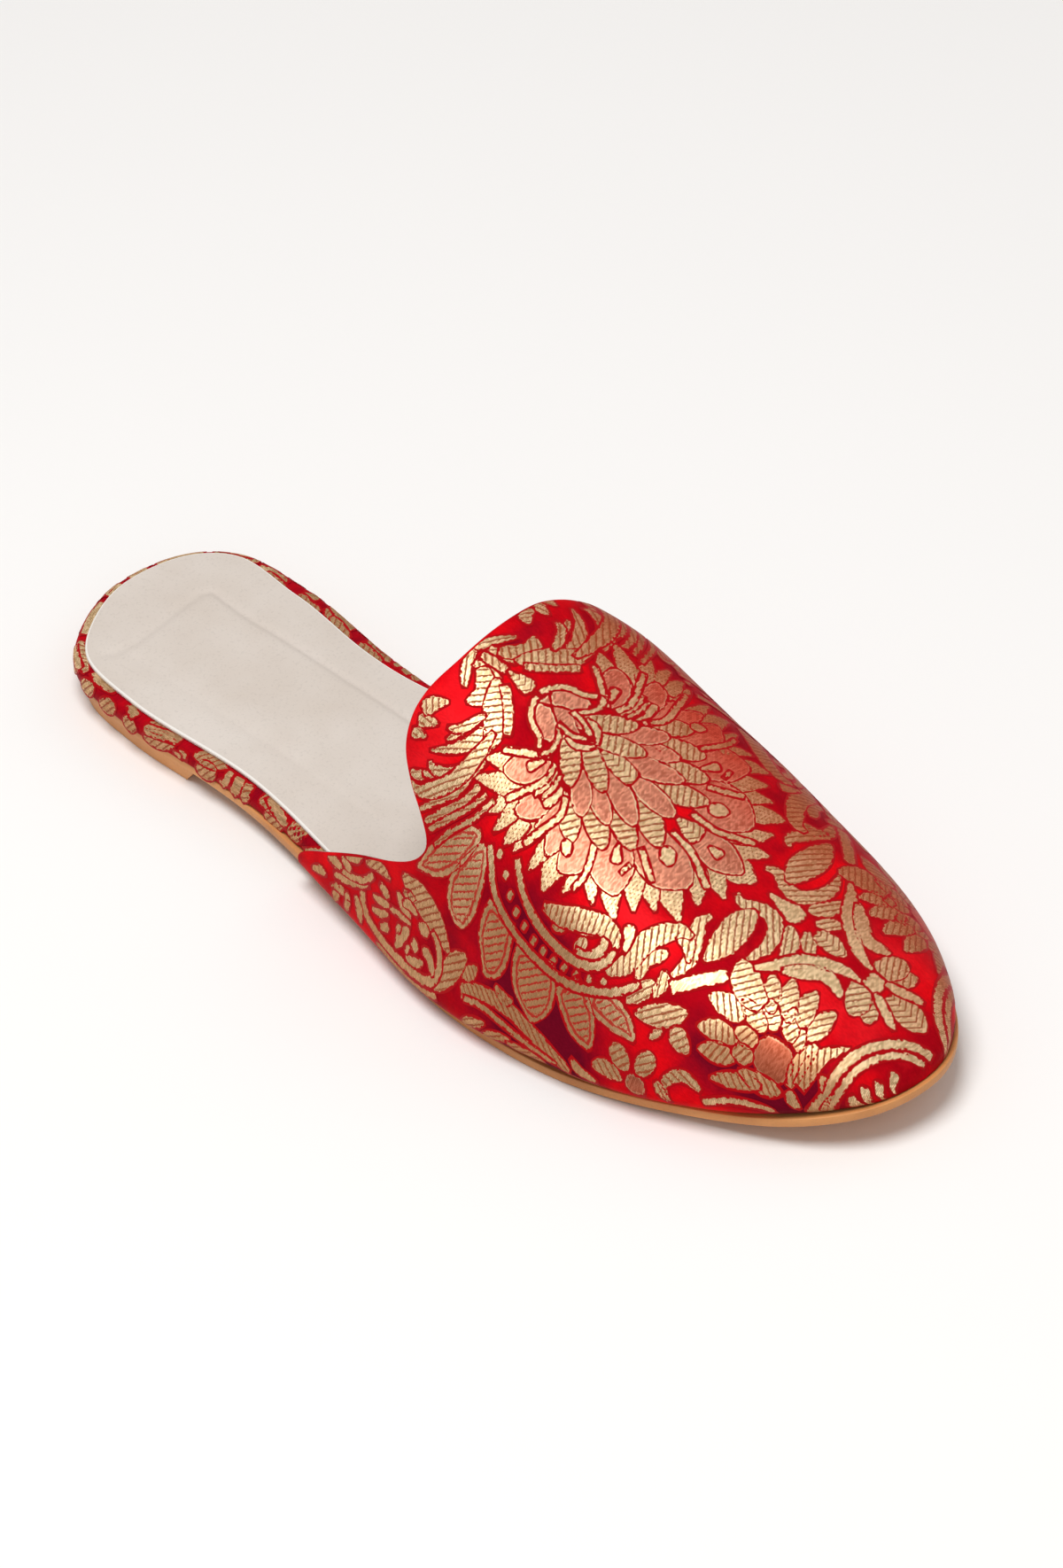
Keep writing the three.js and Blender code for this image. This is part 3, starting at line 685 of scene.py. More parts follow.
# Gold figures filled with slanted lines
GOLD_HATCHED = lined(
    # arch under the collar and the fluted trunk
    ("tail", 2.2, 28, (1.6, 0.9), (5, 1.2), (8, 2.7), (10.8, 4.4)),
    ("band", 2.0, 40, (2.1, 2.3), (2.1, 9.8)),
    ("band", 2.0, 40, (4.3, 2.3), (5.2, 10)),
    # plume and its teeth
    ("petal", 4.4, -50, (4.6, 4.2), (6.8, 7.2), (9.8, 8.6), (13.4, 6.2)),
    ("tail", 3.6, -45, (14.6, 15.6), (20, 15.2), (25.4, 14), (30, 11.4), (33.2, 8.2), (34.8, 4.6), (33.6, 1)),
    ("leaf", 5.6, -45, (4.6, 8.6), (9.4, 11.9), (14.4, 15.2), (20.6, 16.4)),
    ("tail", 2.0, -45, (12.6, 11.8), (16.4, 10), (19, 8), (19.9, 5.2)),
    ("tail", 1.3, -45, (17.6, 9.6), (20, 8.6), (22.4, 6.4)),
    ("tooth", 2.8, -60, (15.4, 13.2), (19.4, 12.4), (22.6, 9.6), (24.6, 6.8), (26.1, 3.8)),
    ("tail", 2.6, -60, (23, 14.8), (26.6, 12.4), (28.6, 9), (28.9, 6), (27.6, 5)),
    ("tail", 1.8, -60, (28.4, 8), (30.2, 6.4), (31.4, 4.2)),
    ("tail", 2.2, -60, (30.4, 6), (31.8, 4), (32.4, 0.8)),
    # hanging leaves at the collar
    ("tooth", 3.6, 30, (19.6, -1.8), (17, 0), (14.8, 3.4)),
    ("tooth", 2.9, 80, (21.6, -2), (20.8, 0.6), (20.2, 3.8)),
    ("tooth", 2.5, 80, (24.6, -2.2), (24, 0), (24.1, 2.4)),
    # lines that sweep up to the collar
    ("band", 2.0, -50, (4.9, 10.8), (8.8, 15), (13.8, 18.8)),
    ("band", 1.3, -50, (20.6, 17.6), (25, 16), (30, 14.6), (34.6, 10.4), (38.8, 6)),
    ("band", 1.5, -50, (25.2, 19), (30, 17.2), (35, 13.4), (40.2, 8.6)),
    ("band", 1.2, -50, (25.6, 21.6), (30.4, 19.2), (36, 14.8), (41.4, 10.2)),
    ("band", 1.1, -40, (25.2, 24), (32, 21), (38, 16.4), (43.4, 13)),
    # inner petals of the peony
    ("scale", 4.9, -38, (3.2, 28.4), (7.2, 33), (11.9, 37)),
    ("scale", 4.7, -34, (1.4, 32.6), (4.3, 38.4), (6.9, 43.6)),
    ("scale", 4.9, -38, (13.4, 37.6), (17, 41.4), (20.4, 44.8)),
    ("scale", 5.2, -40, (10.6, 40.4), (13.5, 46.6), (16.6, 51.8)),
    ("scale", 5.2, -38, (7.4, 45), (9.6, 51.4), (12.3, 56.8)),
    ("scale", 5.6, -34, (1.6, 48), (4.5, 55.2), (7.7, 60.8)),
    # crescent leaf on the branch
    ("tail", 4.6, 12, (34.5, 46), (33.6, 51), (31.2, 56), (29.2, 60.6), (28.9, 64.4), (31.4, 66.6)),
    ("leaf", 3.0, 0, (33, 54), (35, 52.2), (37.4, 50.4)),
    ("leaf", 2.6, 10, (33.4, 59.6), (35.6, 58.4), (38, 58)),
    # first scroll
    ("tail", 4.6, 28, (36.8, 66.4), (32, 70), (27.4, 70.8), (22.6, 73), (19.2, 76), (18.6, 79.4)),
    ("tail", 3.4, 28, (33.6, 74), (29.4, 73.2), (26.6, 75.2), (24.2, 76.8)),
    ("tail", 3.3, 28, (11.7, 79.4), (14.6, 78.2), (18.6, 79.8), (23.4, 81.6), (28.6, 80)),
    ("tooth", 3.4, 28, (19.8, 76), (20.4, 79.2), (24, 81.8)),
    ("leaf", 3.8, -35, (31, 78), (34.6, 76), (39, 73.4)),
    ("leaf", 3.0, 20, (27.8, 78), (30.6, 79.4), (34.6, 78.6)),
    # second scroll
    ("tail", 3.6, 40, (3.6, 79.2), (4.8, 82.2), (3.1, 86), (3, 89), (5.8, 91.7), (10.4, 92.9), (15.6, 91.2)),
    ("leaf", 6.9, 32, (3.8, 85.4), (9.4, 85), (14.6, 85.2), (21.8, 84.2)),
    ("leaf", 4.0, 30, (1.8, 92.6), (5.6, 96), (10.4, 96.6)),
    ("leaf", 3.4, 30, (0.2, 96.2), (2.4, 98.4), (5.4, 101.6)),
    # lobed leaf at the junction
    ("petal", 6.0, -32, (1.4, 112.4), (5, 115.2), (9.9, 117)),
    ("petal", 4.4, -32, (2.4, 115.6), (5.4, 118.8), (8.8, 120.8)),
    # lotus
    ("leaf", 4.2, -38, (25, 104.8), (24.2, 100.4), (22.5, 95.9)),
    ("leaf", 4.2, -20, (28.6, 104.6), (28.6, 101.4), (29, 98)),
    ("leaf", 4.0, -20, (31.6, 105.4), (32, 102.4), (33.2, 99.4)),
    ("petal", 6.8, -38, (21.6, 101), (20.3, 96), (15.8, 90)),
    ("leaf", 4.9, 42, (26.3, 99.4), (25.9, 94.4), (26.6, 89)),
    ("leaf", 4.6, 30, (31, 100.4), (31.4, 95.6), (33.4, 90)),
    ("leaf", 4.3, -15, (34, 101.8), (35.2, 97.4), (37.2, 92.4)),
    ("leaf", 3.3, 60, (34.6, 109.6), (37.4, 103.6), (40.9, 97.4)),
    ("leaf", 3.8, 60, (32.6, 114.4), (34.4, 109), (35.4, 102.6)),
    ("leaf", 4.4, -40, (24.2, 106.2), (21.4, 103.4), (18.8, 101)),
    ("leaf", 4.2, -35, (21.6, 103.4), (17.4, 100.2), (13.6, 97.8)),
    ("leaf", 4.5, -30, (20.6, 107.6), (16, 104), (11.6, 102)),
    ("leaf", 4.2, -25, (23.6, 110.6), (20, 108), (16.8, 106.4)),
    ("leaf", 4.5, -28, (19.6, 110.8), (15, 108.4), (10.3, 107.9)),
    ("leaf", 3.3, -28, (24, 113), (21.2, 111.4), (18.6, 110.6)),
    ("leaf", 4.5, -35, (20.9, 113.6), (16.2, 113.4), (11, 114)),
    ("tail", 3.5, 32, (31, 114.8), (25, 114.6), (19.2, 115.4)),
    ("tooth", 3.8, 32, (29.6, 116.8), (21.4, 117.6), (14.8, 121.8)),
    # leaves at the side
    ("leaf", 4.9, -45, (32.2, 87.8), (35.8, 83), (39.6, 76.2)),
    ("leaf", 1.8, -45, (38, 84.2), (39.8, 83.2), (41.9, 81.6)),
    ("leaf", 4.3, -40, (36.6, 85.4), (38, 88), (39.5, 91.8)),
    ("tail", 2.5, 80, (44.4, 97.4), (43.9, 93), (45.4, 90), (48.4, 88.6), (51.4, 90.8)),
    ("leaf", 4.5, -40, (48.2, 73.4), (49.2, 77), (50.8, 80.4)),
    ("leaf", 3.5, 60, (54.8, 70.6), (53.2, 74.6), (53, 79.4)),
    ("leaf", 4.6, -50, (43.8, 84.6), (47, 83), (50.4, 81.4)),
    ("leaf", 2.4, 50, (48.4, 86.2), (50, 88.4), (51.8, 90.6)),
    # plume on the wing
    ("leaf", 7.4, -48, (54.6, 4.6), (56.4, 11), (58, 17.4), (61.8, 24.4)),
    ("leaf", 5.4, -48, (57.2, 29.8), (62, 26.4), (67, 23.6), (72.4, 20.6)),
    ("leaf", 2.8, -48, (57.6, 7), (58.2, 9), (58.4, 5.2)),
    ("tail", 2.7, -40, (58.9, -8.6), (57.4, -3.8), (58.4, 1.2)),
    ("band", 2.9, 60, (65.8, 29.4), (62.4, 34.4), (60.2, 40), (59.3, 46), (59.4, 52), (59.6, 58), (60.6, 66)),
    ("leaf", 2.6, -50, (72.6, 31), (69.4, 35), (66.2, 39.8)),
    ("leaf", 2.8, -50, (66.6, 46), (65.4, 52), (63.4, 58.6)),
    ("leaf", 2.6, 50, (62.6, 64), (62.2, 69.4), (59.4, 75)),
    ("leaf", 3.2, 50, (62.6, 26.8), (60.6, 31.2), (56.8, 34)),
    ("leaf", 2.6, 50, (57.2, 39.6), (58.2, 43.4), (56.6, 46)),
    ("leaf", 2.4, -50, (71.2, 38), (68, 42), (64.6, 48)),
)

# Gold figures with dark chevrons
GOLD_CHEVRONS = unlined(
    ("drop", 3.8, (2.1, 9.4), (2.1, 13.4), (2.3, 17)),
    ("band", 4.2, (-0.1, 36.4), (-0.2, 46.8)),
    ("drop", 5.4, (-0.7, 58.2), (-0.9, 65.8)),
    ("petal", 4.7, (-0.8, 97.6), (-0.8, 102), (-0.9, 107)),
    ("petal", 6.8, (-0.9, 119), (-0.8, 125), (-0.6, 131)),
)

# Gold frames round a hatched leaf
GOLD_FRAMED = lined(
    ("leaf", 7.6, -55, (32.4, 24.6), (39, 19.6), (45, 15.2), (50.6, 9.2)),
    ("spear", 9.8, -55, (33.6, 27), (41, 26), (48, 24.9), (54, 25.5)),
    ("heart", 10.0, -50, (41.8, 37), (48, 37), (53.4, 37.2), (57.8, 35.9)),
    ("heart", 13.2, -50, (43.6, 48.8), (49, 50), (54, 51.4), (57.8, 52.4)),
    ("heart", 9.0, -50, (43.6, 58.2), (47, 62.6), (50, 66.4), (52.8, 69.6)),
    ("heart", 6.4, -40, (42.6, 64.6), (42.4, 70), (43, 75.6), (44.8, 79.3)),
)

# Gold petal tips with rows of small dots
GOLD_DOTTED = unlined(
    ("tooth", 4.6, (16, 26), (17.6, 22), (20.4, 16.8)),
    ("tooth", 4.8, (18.6, 29.4), (21.8, 23.4), (25, 16.6)),
    ("tooth", 3.8, (21, 28.6), (25, 25.8), (28.9, 23.4)),
    ("tooth", 3.9, (20.5, 30), (25.4, 28.8), (31.2, 27)),
    ("tooth", 4.2, (23, 33.4), (27, 32), (31.4, 30.8)),
    ("tooth", 3.6, (21.6, 36.2), (26, 35.2), (31, 33.4)),
    ("tooth", 3.8, (20.6, 41), (26, 40.2), (31.6, 39)),
    ("tooth", 5.8, (22.6, 44.4), (27.4, 44.2), (32.6, 44.5)),
    ("tooth", 3.6, (20.6, 49.8), (26, 49.6), (30.4, 48.9)),
    ("tooth", 3.8, (20.4, 51.6), (24, 53.6), (27.5, 56.8)),
    ("tooth", 4.9, (19.2, 56.4), (23, 58.8), (26.8, 62.8)),
    ("tooth", 4.9, (14, 59.4), (18.2, 61.8), (22.9, 65.4)),
    ("tooth", 4.6, (13.2, 61.6), (16.2, 65), (19.7, 69.4)),
    ("tooth", 5.4, (12, 66.8), (14.8, 70.2), (17.9, 74.8)),
    ("tooth", 5.0, (4.4, 68.2), (7.8, 71.8), (12.5, 75.5)),
    ("tooth", 5.0, (1.8, 69.8), (4.2, 74), (7, 78.9)),
    ("tooth", 7.0, (-0.9, 73.6), (-1.1, 77), (-1.4, 81.2)),
)

# Copper-pink petals
COPPER = unlined(
    ("drop", 6.6, (1.9, 31.4), (1.9, 25), (1.8, 19)),
    ("petal", 5.0, (2.2, 20.6), (5, 22.6), (7.6, 27.4)),
    ("petal", 6.6, (10, 29.8), (14.4, 27), (17.4, 24.4), (19.6, 21.8)),
    ("petal", 6.6, (10.8, 33.6), (16, 33.2), (20.6, 32.2), (24.4, 29.4)),
    ("petal", 3.0, (12.6, 36.4), (17.4, 37.8), (23.6, 35.6)),
    ("scale", 4.9, (6.6, 35.8), (10.8, 39.8), (14.8, 43)),
    ("scale", 4.8, (6.2, 38.4), (9.1, 44), (11.9, 48.9)),
    ("scale", 5.6, (1.4, 38.6), (4.5, 46.2), (7.9, 53.6)),
    ("scale", 5.4, (-0.3, 45.6), (-0.4, 52), (-0.6, 58.4)),
    ("petal", 4.6, (15, 39.6), (20.4, 40.8), (26.4, 41.4)),
    ("petal", 8.0, (13.6, 44), (20, 47), (27, 45.6)),
    ("petal", 10.4, (11.6, 49.6), (17.2, 54.2), (22.8, 59.8)),
    ("petal", 11.8, (8.2, 54), (9.2, 62), (9.8, 71.6)),
    ("petal", 8.0, (-0.8, 62), (-1, 70), (-1.2, 77.6)),
    ("petal", 2.6, (33.4, 55), (31.8, 58.6), (30.2, 62)),
    ("petal", 1.8, (28.4, 71.4), (25, 72.2), (21.6, 74)),
    ("oval", 2.7, (9.2, 83.8), (11.8, 84.2), (14.4, 84.8)),
    ("oval", 2.5, (-1.3, 89.6), (-1.3, 93.4)),
    ("oval", 8.2, (28.8, 103.8), (28.2, 114.2)),
    ("oval", 4.2, (52.3, 79.4), (52, 85.2)),
)

# Dots between the branch's two lines: width, how far (u, y) each end lies from the middle, and the middles
DOT_WIDTH, DOT_REACH = 1.9, (0.2, 1.15)
BRANCH_DOTS = (
    (33, 31), (35.5, 34.5), (38, 37.6), (39.8, 40.6), (41, 43.8), (42, 47.2), (42.4, 50.4), (42.3, 53.6),
    (41.8, 56.8), (41.1, 60.2), (40, 63.6), (38.5, 67),
)

# The photograph hides the arch side of the upper, where a stem with leaves goes on over the cloth
FAR_STEM = unlined(
    ("band", 1.8, (79, -28), (85.6, -12), (88.6, 2), (87, 14), (82.6, 26), (79.6, 40), (77.6, 54), (71, 68),
      (62.4, 80.6), (52, 92)),
)
FAR_LEAVES = lined(
    ("leaf", 5.0, 45, (80.5, -22), (83, -15), (82, -7)),
    ("leaf", 4.6, -45, (86, -24), (89.5, -17), (90, -9)),
    ("leaf", 5.0, 45, (81, -3), (83.6, 3), (83, 11)),
    ("leaf", 4.6, -45, (90, -3), (92.6, 4), (91.4, 12)),
    ("leaf", 4.6, -45, (79.6, 6), (79.6, 13), (78.6, 21)),
    ("leaf", 4.8, 45, (87, 16), (88, 23), (85.6, 30)),
    ("leaf", 4.4, 45, (76.6, 24), (77.4, 30.6), (75.6, 38)),
    ("leaf", 4.4, -45, (82.6, 34), (83, 41), (80.8, 48)),
    ("leaf", 4.2, -45, (73.6, 40), (74.4, 46.6), (72.6, 54)),
    ("leaf", 4.2, 45, (79.4, 51), (79, 58), (75.4, 64.6)),
    ("leaf", 4.0, 45, (70, 54), (69.6, 60.6), (66, 67)),
    ("leaf", 4.0, -45, (73.4, 67.6), (71.4, 74), (67, 79)),
    ("leaf", 3.8, -45, (64, 69), (62.6, 75), (58.6, 80)),
    ("leaf", 3.8, 45, (65.4, 82), (61.4, 87.6), (56, 91)),
    ("leaf", 3.4, -45, (57, 83), (53.6, 88), (49, 91)),
    ("leaf", 3.4, 45, (53.6, 94), (49, 98.6), (43.6, 101.6)),
)

# Figures on the wrapped edge of the footbed: mm along the edge from the heel's back, and mm up from its foot
EDGE_PLAIN = unlined(
    ("band", 2.1, (22.6, 5.7), (16, 5.2), (9, 5.8)),
    ("tail", 3.0, (7.4, 5.8), (3.6, 5.2), (0.9, 5.9)),
    ("band", 2.2, (52.5, 6.5), (57, 4.2)),
    ("band", 2.5, (60, 3.2), (67, 4.9), (71, 5.5)),
    ("band", 2.4, (71.2, 0.8), (71.5, 3.2)),
    ("band", 2.4, (72.8, 1.2), (73, 4.2)),
    ("band", 2.5, (88, 0.5), (90, 2.8), (89.4, 6.2)),
    ("band", 2.1, (98, 6.2), (104, 4), (107.4, 3)),
    ("band", 2.1, (113.6, 0.6), (117, 3), (120.4, 6)),
    ("band", 1.8, (37.6, 6.2), (42, 5.6), (47.6, 6.3)),
    ("band", 1.8, (25.4, 3.4), (30, 3.8), (35, 4)),
    ("band", 1.8, (84.6, 0.8), (86.6, 3), (86.4, 6.2)),
)
EDGE_HATCHED = lined(
    ("leaf", 4.6, 40, (20.6, 0.7), (16.6, 2.4), (12, 4.4)),
    ("leaf", 4.3, -40, (10.4, 0.6), (6.6, 2.2), (2.5, 4.2)),
    ("tail", 3.1, 60, (24, 5), (31, 5.3), (37, 4.7)),
    ("leaf", 4.2, 60, (25, 1), (29, 2.2), (34, 2.6)),
    ("leaf", 4.3, 50, (36, 0.6), (39.6, 2.2), (42.5, 3.7)),
    ("leaf", 4.3, 50, (44, 0.6), (47.6, 2), (50.7, 3.6)),
    ("leaf", 4.2, 50, (53, 0.6), (55.4, 1.6), (58.4, 1.8)),
    ("petal", 3.5, 70, (60.4, 4.9), (64, 5.9), (67.6, 6.6)),
    ("leaf", 4.6, 50, (59.8, 0.9), (65, 2.5), (70.6, 4.1)),
    ("leaf", 4.2, 60, (75.4, 4.3), (80, 5.4), (85.4, 5.2)),
    ("leaf", 4.9, 50, (76.6, 0.6), (80, 1.9), (83.6, 3.7)),
    ("band", 2.3, 30, (91, 0.5), (93, 2.8), (92.4, 6.2)),
    ("petal", 4.9, 60, (96.6, 4.9), (101, 5.5), (105.4, 4.6)),
    ("leaf", 4.9, 50, (99, 0.5), (102.6, 1.9), (106.4, 3.6)),
    ("leaf", 5.3, 50, (107, 1.6), (110, 4), (112.6, 6.5)),
    ("leaf", 5.3, 50, (117.6, 0.6), (121, 2.4), (124.6, 5.2)),
)
# More leaves lie on the top of the edge where the insole leaves it bare, on the arch side
EDGE_TOP = lined(
    ("leaf", 2.7, 50, (17, 6.2), (21.6, 7.4), (26.4, 7.6)),
    ("tail", 2.3, 50, (29, 6.4), (33, 7.8), (38.4, 7.4)),
    ("leaf", 2.9, 50, (40.6, 6.4), (45, 7.8), (50, 7.8)),
    ("tail", 2.5, 50, (52, 6.4), (56, 7.8), (61, 7.4)),
    ("leaf", 3.1, 50, (63.6, 6.2), (68, 7.4), (73, 7.4)),
    ("tail", 2.7, 50, (75, 6.2), (79, 7.2), (84, 6.8)),
)


def branch_dots():
    """A short gold figure at each dot, all leaning the same way."""
    aside, ahead = DOT_REACH
    ends = [((u - aside, y - ahead), (u + aside, y + ahead)) for u, y in BRANCH_DOTS]
    return unlined(*(("oval", DOT_WIDTH, start, end) for start, end in ends))


# Layers of woven figures. The cloth and the edge have both halves of the pattern, and the far ones only the
# arch side. Lift is how many mm a layer lies over the cloth, beyond the relief that they all have.
Layer = namedtuple("Layer", "name motifs finish ground lift")
LAYERS = (
    Layer("figures_dotted", GOLD_DOTTED, "gold_dots", "cloth", 0.0),
    Layer("figures_copper", COPPER, "copper_thread", "cloth", 0.004),
    Layer("figures_lined", GOLD_HATCHED, "gold_lines", "cloth", 0.008),
    Layer("figures_framed", GOLD_FRAMED, "gold_frame", "cloth", 0.016),
    Layer("figures_chevron", GOLD_CHEVRONS, "gold_chevrons", "cloth", 0.008),
    Layer("figures_plain", GOLD_PLAIN, "gold_plain", "cloth", 0.03),
    Layer("figures_branch_dots", branch_dots(), "gold_plain", "cloth", 0.01),
    Layer("far_leaves", FAR_LEAVES, "gold_lines", "far_cloth", 0.0),
    Layer("far_stem", FAR_STEM, "gold_plain", "far_cloth", 0.0),
    Layer("edge_lined", EDGE_HATCHED, "gold_lines", "edge", 0.05),
    Layer("edge_plain", EDGE_PLAIN, "gold_plain", "edge", 0.08),
    Layer("edge_top", EDGE_TOP, "gold_lines", "far_edge", 0.11),
)

# Every figure is widened by its woven outline, and has a row of points about every so many mm
FIGURE_OUTLINE, FIGURE_ROW = 0.5, 0.8
# Shares of the half width at which a figure has its columns, which of them is the middle line, and how many
# mm lower the outermost pair lies
FIGURE_COLUMNS = np.array([-1, -0.9, -0.45, 0, 0.45, 0.9, 1])
FIGURE_MIDDLE, EDGE_DROP = 3, 0.02
# The peony's petals overlap like scales round this point (u, y): lift for each mm nearer than the reach
FLOWER_HEART, FLOWER_REACH, FLOWER_LIFT = (2.0, 22.0), 50, 0.002
# Neighbours differ by one of so many small steps in lift, so that no two faces lie in one place
LIFT_STEPS, LIFT_STEP = 5, 0.001
# Figures on the wrapped edge start this far round from the heel's back, and their rows this far down
EDGE_START, EDGE_FOOT = 0.3, 0.3


def smooth_spine(points, share, steps=24):
    """Open Catmull-Rom curve through the points by share of its length, and the curve's length."""
    points = np.asarray(points, float)
    if len(points) == 2:
        points = np.stack([points[0], points.mean(0), points[1]])
    padded = np.concatenate([[2 * points[0] - points[1]], points, [2 * points[-1] - points[-2]]])
    t = np.linspace(0, 1, steps, endpoint=False)[None, :, None]
    a, b, c, d = (padded[k:len(padded) - 3 + k, None] for k in range(4))
    bend = (2 * a - 5 * b + 4 * c - d) * t**2 + (3 * b - a - 3 * c + d) * t**3
    curve = 0.5 * (2 * b + (c - a) * t + bend)
    curve = np.concatenate([curve.reshape(-1, 2), points[-1:]])
    run = run_along(curve)
    wanted = share * run[-1]
    return np.stack([np.interp(wanted, run, curve[:, 0]), np.interp(wanted, run, curve[:, 1])], -1), run[-1]


def figure_grid(motif, chevrons):
    """A figure as a grid round its middle line, with rows closer at both ends. Half its width is its shape's
    table, smoothed, times half the motif's. Gives its points (u, y), their distance in mm from the figure's
    edge, and their place across the hatch lines."""
    _, length = smooth_spine(motif.spine, np.array([0.0, 1.0]))
    rows = int(np.clip(length / FIGURE_ROW, 9, 60))
    share = 0.5 - 0.5 * np.cos(np.linspace(0, np.pi, rows))
    share = 0.6 * share + 0.4 * np.linspace(0, 1, rows)
    middle, length = smooth_spine(motif.spine, share)
    half = 0.5 * motif.width * smooth_column(np.array(SHAPES[motif.shape]), 1, share) + FIGURE_OUTLINE
    along = unit(np.gradient(middle, axis=0))
    side = np.stack([-along[:, 1], along[:, 0]], -1)
    across = half[:, None] * FIGURE_COLUMNS
    points = middle[:, None] + side[:, None] * across[..., None]
    run = share * length
    from_ends = np.minimum(run, length - run)[:, None] + 0.02
    edge = np.minimum(half[:, None] * (1 - np.abs(FIGURE_COLUMNS)), from_ends)
    if chevrons:
        return points, edge, run[:, None] + 0.7 * np.abs(across)
    slant = np.radians(motif.slant)
    return points, edge, points[..., 1] * np.cos(slant) - points[..., 0] * np.sin(slant)


def cloth_half(face, half):
    """A function that puts a figure on the upper's cloth, on the near (1) or far (-1) half of the pattern. It
    gives points, cloth coordinates in mm, painted shade of the folds, and which points lie outside the
    collar."""
    def put(flat, lift):
        u, y = flat[..., 0], flat[..., 1]
        if half < 0:
            u, y = mirrored(u, y)
        p, q = to_cloth(u, y)
        station, girth = face.on_cloth(p, q)
        girth = np.clip(girth, 0.004, 0.996)
        low = collar_station(girth) + COLLAR_ROLL
        outside = station < low
        station = np.clip(np.maximum(station, low), None, face.tip - 0.02)
        return face.at(station, girth, lift), p, q, folds(p, q, "shade"), outside

    return put


def edge_side(plan, half):
    """A function that puts a figure on the wrapped edge of the footbed, on the lateral (1) or medial (-1)
    side: up a straight wall, over a quarter circle, and on across the top. It gives what cloth_half does."""
    at, x = (plan.lateral_at, plan.lateral_x) if half > 0 else (plan.medial_at, plan.medial_x)
    run = run_along(np.stack([at, x], -1))

    def change(values, arc, reach=0.6):
        """How much a value changes along the edge from a little before a place to a little after it."""
        return np.interp(arc + reach, run, values) - np.interp(arc - reach, run, values)

    def put(flat, lift):
        arc, up = np.maximum(flat[..., 0], EDGE_START), flat[..., 1] - EDGE_FOOT
        station, lateral = np.interp(arc, run, at), np.interp(arc, run, x)
        inward = unit(np.stack([-change(at, arc), change(x, arc)], -1)) * half
        wall = FOOTBED - EDGE_ROUND
        turn = np.clip((up - wall) / EDGE_ROUND, 0, np.pi / 2)
        top = np.maximum(up - wall - EDGE_ROUND * np.pi / 2, 0)
        inset = EDGE_ROUND * (1 - np.cos(turn)) + top - lift * np.cos(turn)
        rise = np.minimum(up, wall) + (EDGE_ROUND + lift) * np.sin(turn)
        z = over_sole(station, SOLE + GAP + rise)
        place = np.stack([lateral + inward[..., 0] * inset, station + inward[..., 1] * inset, z], -1)
        return place, -arc, up, np.zeros(arc.shape), np.zeros(arc.shape, bool)

    return put


def woven_figures(motifs, sides, base_lift, chevrons=False):
    """All figures of one kind, put on each side in turn. The nearer a figure starts to the heart of the
    flower, the higher it lies, so that it covers the ones outside it. Its edges lie a little lower than its
    middle, and a figure on the pattern's middle line is only put on the near side."""
    parts, count = [], 0
    for number, motif in enumerate(motifs):
        flat, edge, line = figure_grid(motif, chevrons)
        spine = flat[:, FIGURE_MIDDLE]
        centred = np.all(np.abs(spine[:, 0] - middle_line(spine[:, 1])) < 0.8)
        far = np.hypot(motif.spine[0][0] - FLOWER_HEART[0], motif.spine[0][1] - FLOWER_HEART[1])
        lift = base_lift + FLOWER_LIFT * max(FLOWER_REACH - far, 0) + LIFT_STEP * (number % LIFT_STEPS)
        lift = np.where(np.abs(FIGURE_COLUMNS) > 0.99, lift - EDGE_DROP, lift)
        for half, put in sides:
            if centred and half < 0:
                continue
            place, p, q, shade, outside = put(flat, np.broadcast_to(lift, edge.shape))
            quads = grid_faces(*edge.shape, flip=half < 0)
            quads = quads[~outside.ravel()[quads].all(1)]
            if len(quads):
                parts.append((place.reshape(-1, 3), quads + count, cloth_uv(p, q), edge.ravel(), line.ravel(),
                              shade.ravel()))
                count += edge.size
    points, faces, uv, edges, lines, shades = (np.concatenate(column) for column in zip(*parts))
    return placed(points), faces, {"UVMap": uv, "edge": edges, "lines": lines, "shade": shades}


# Materials

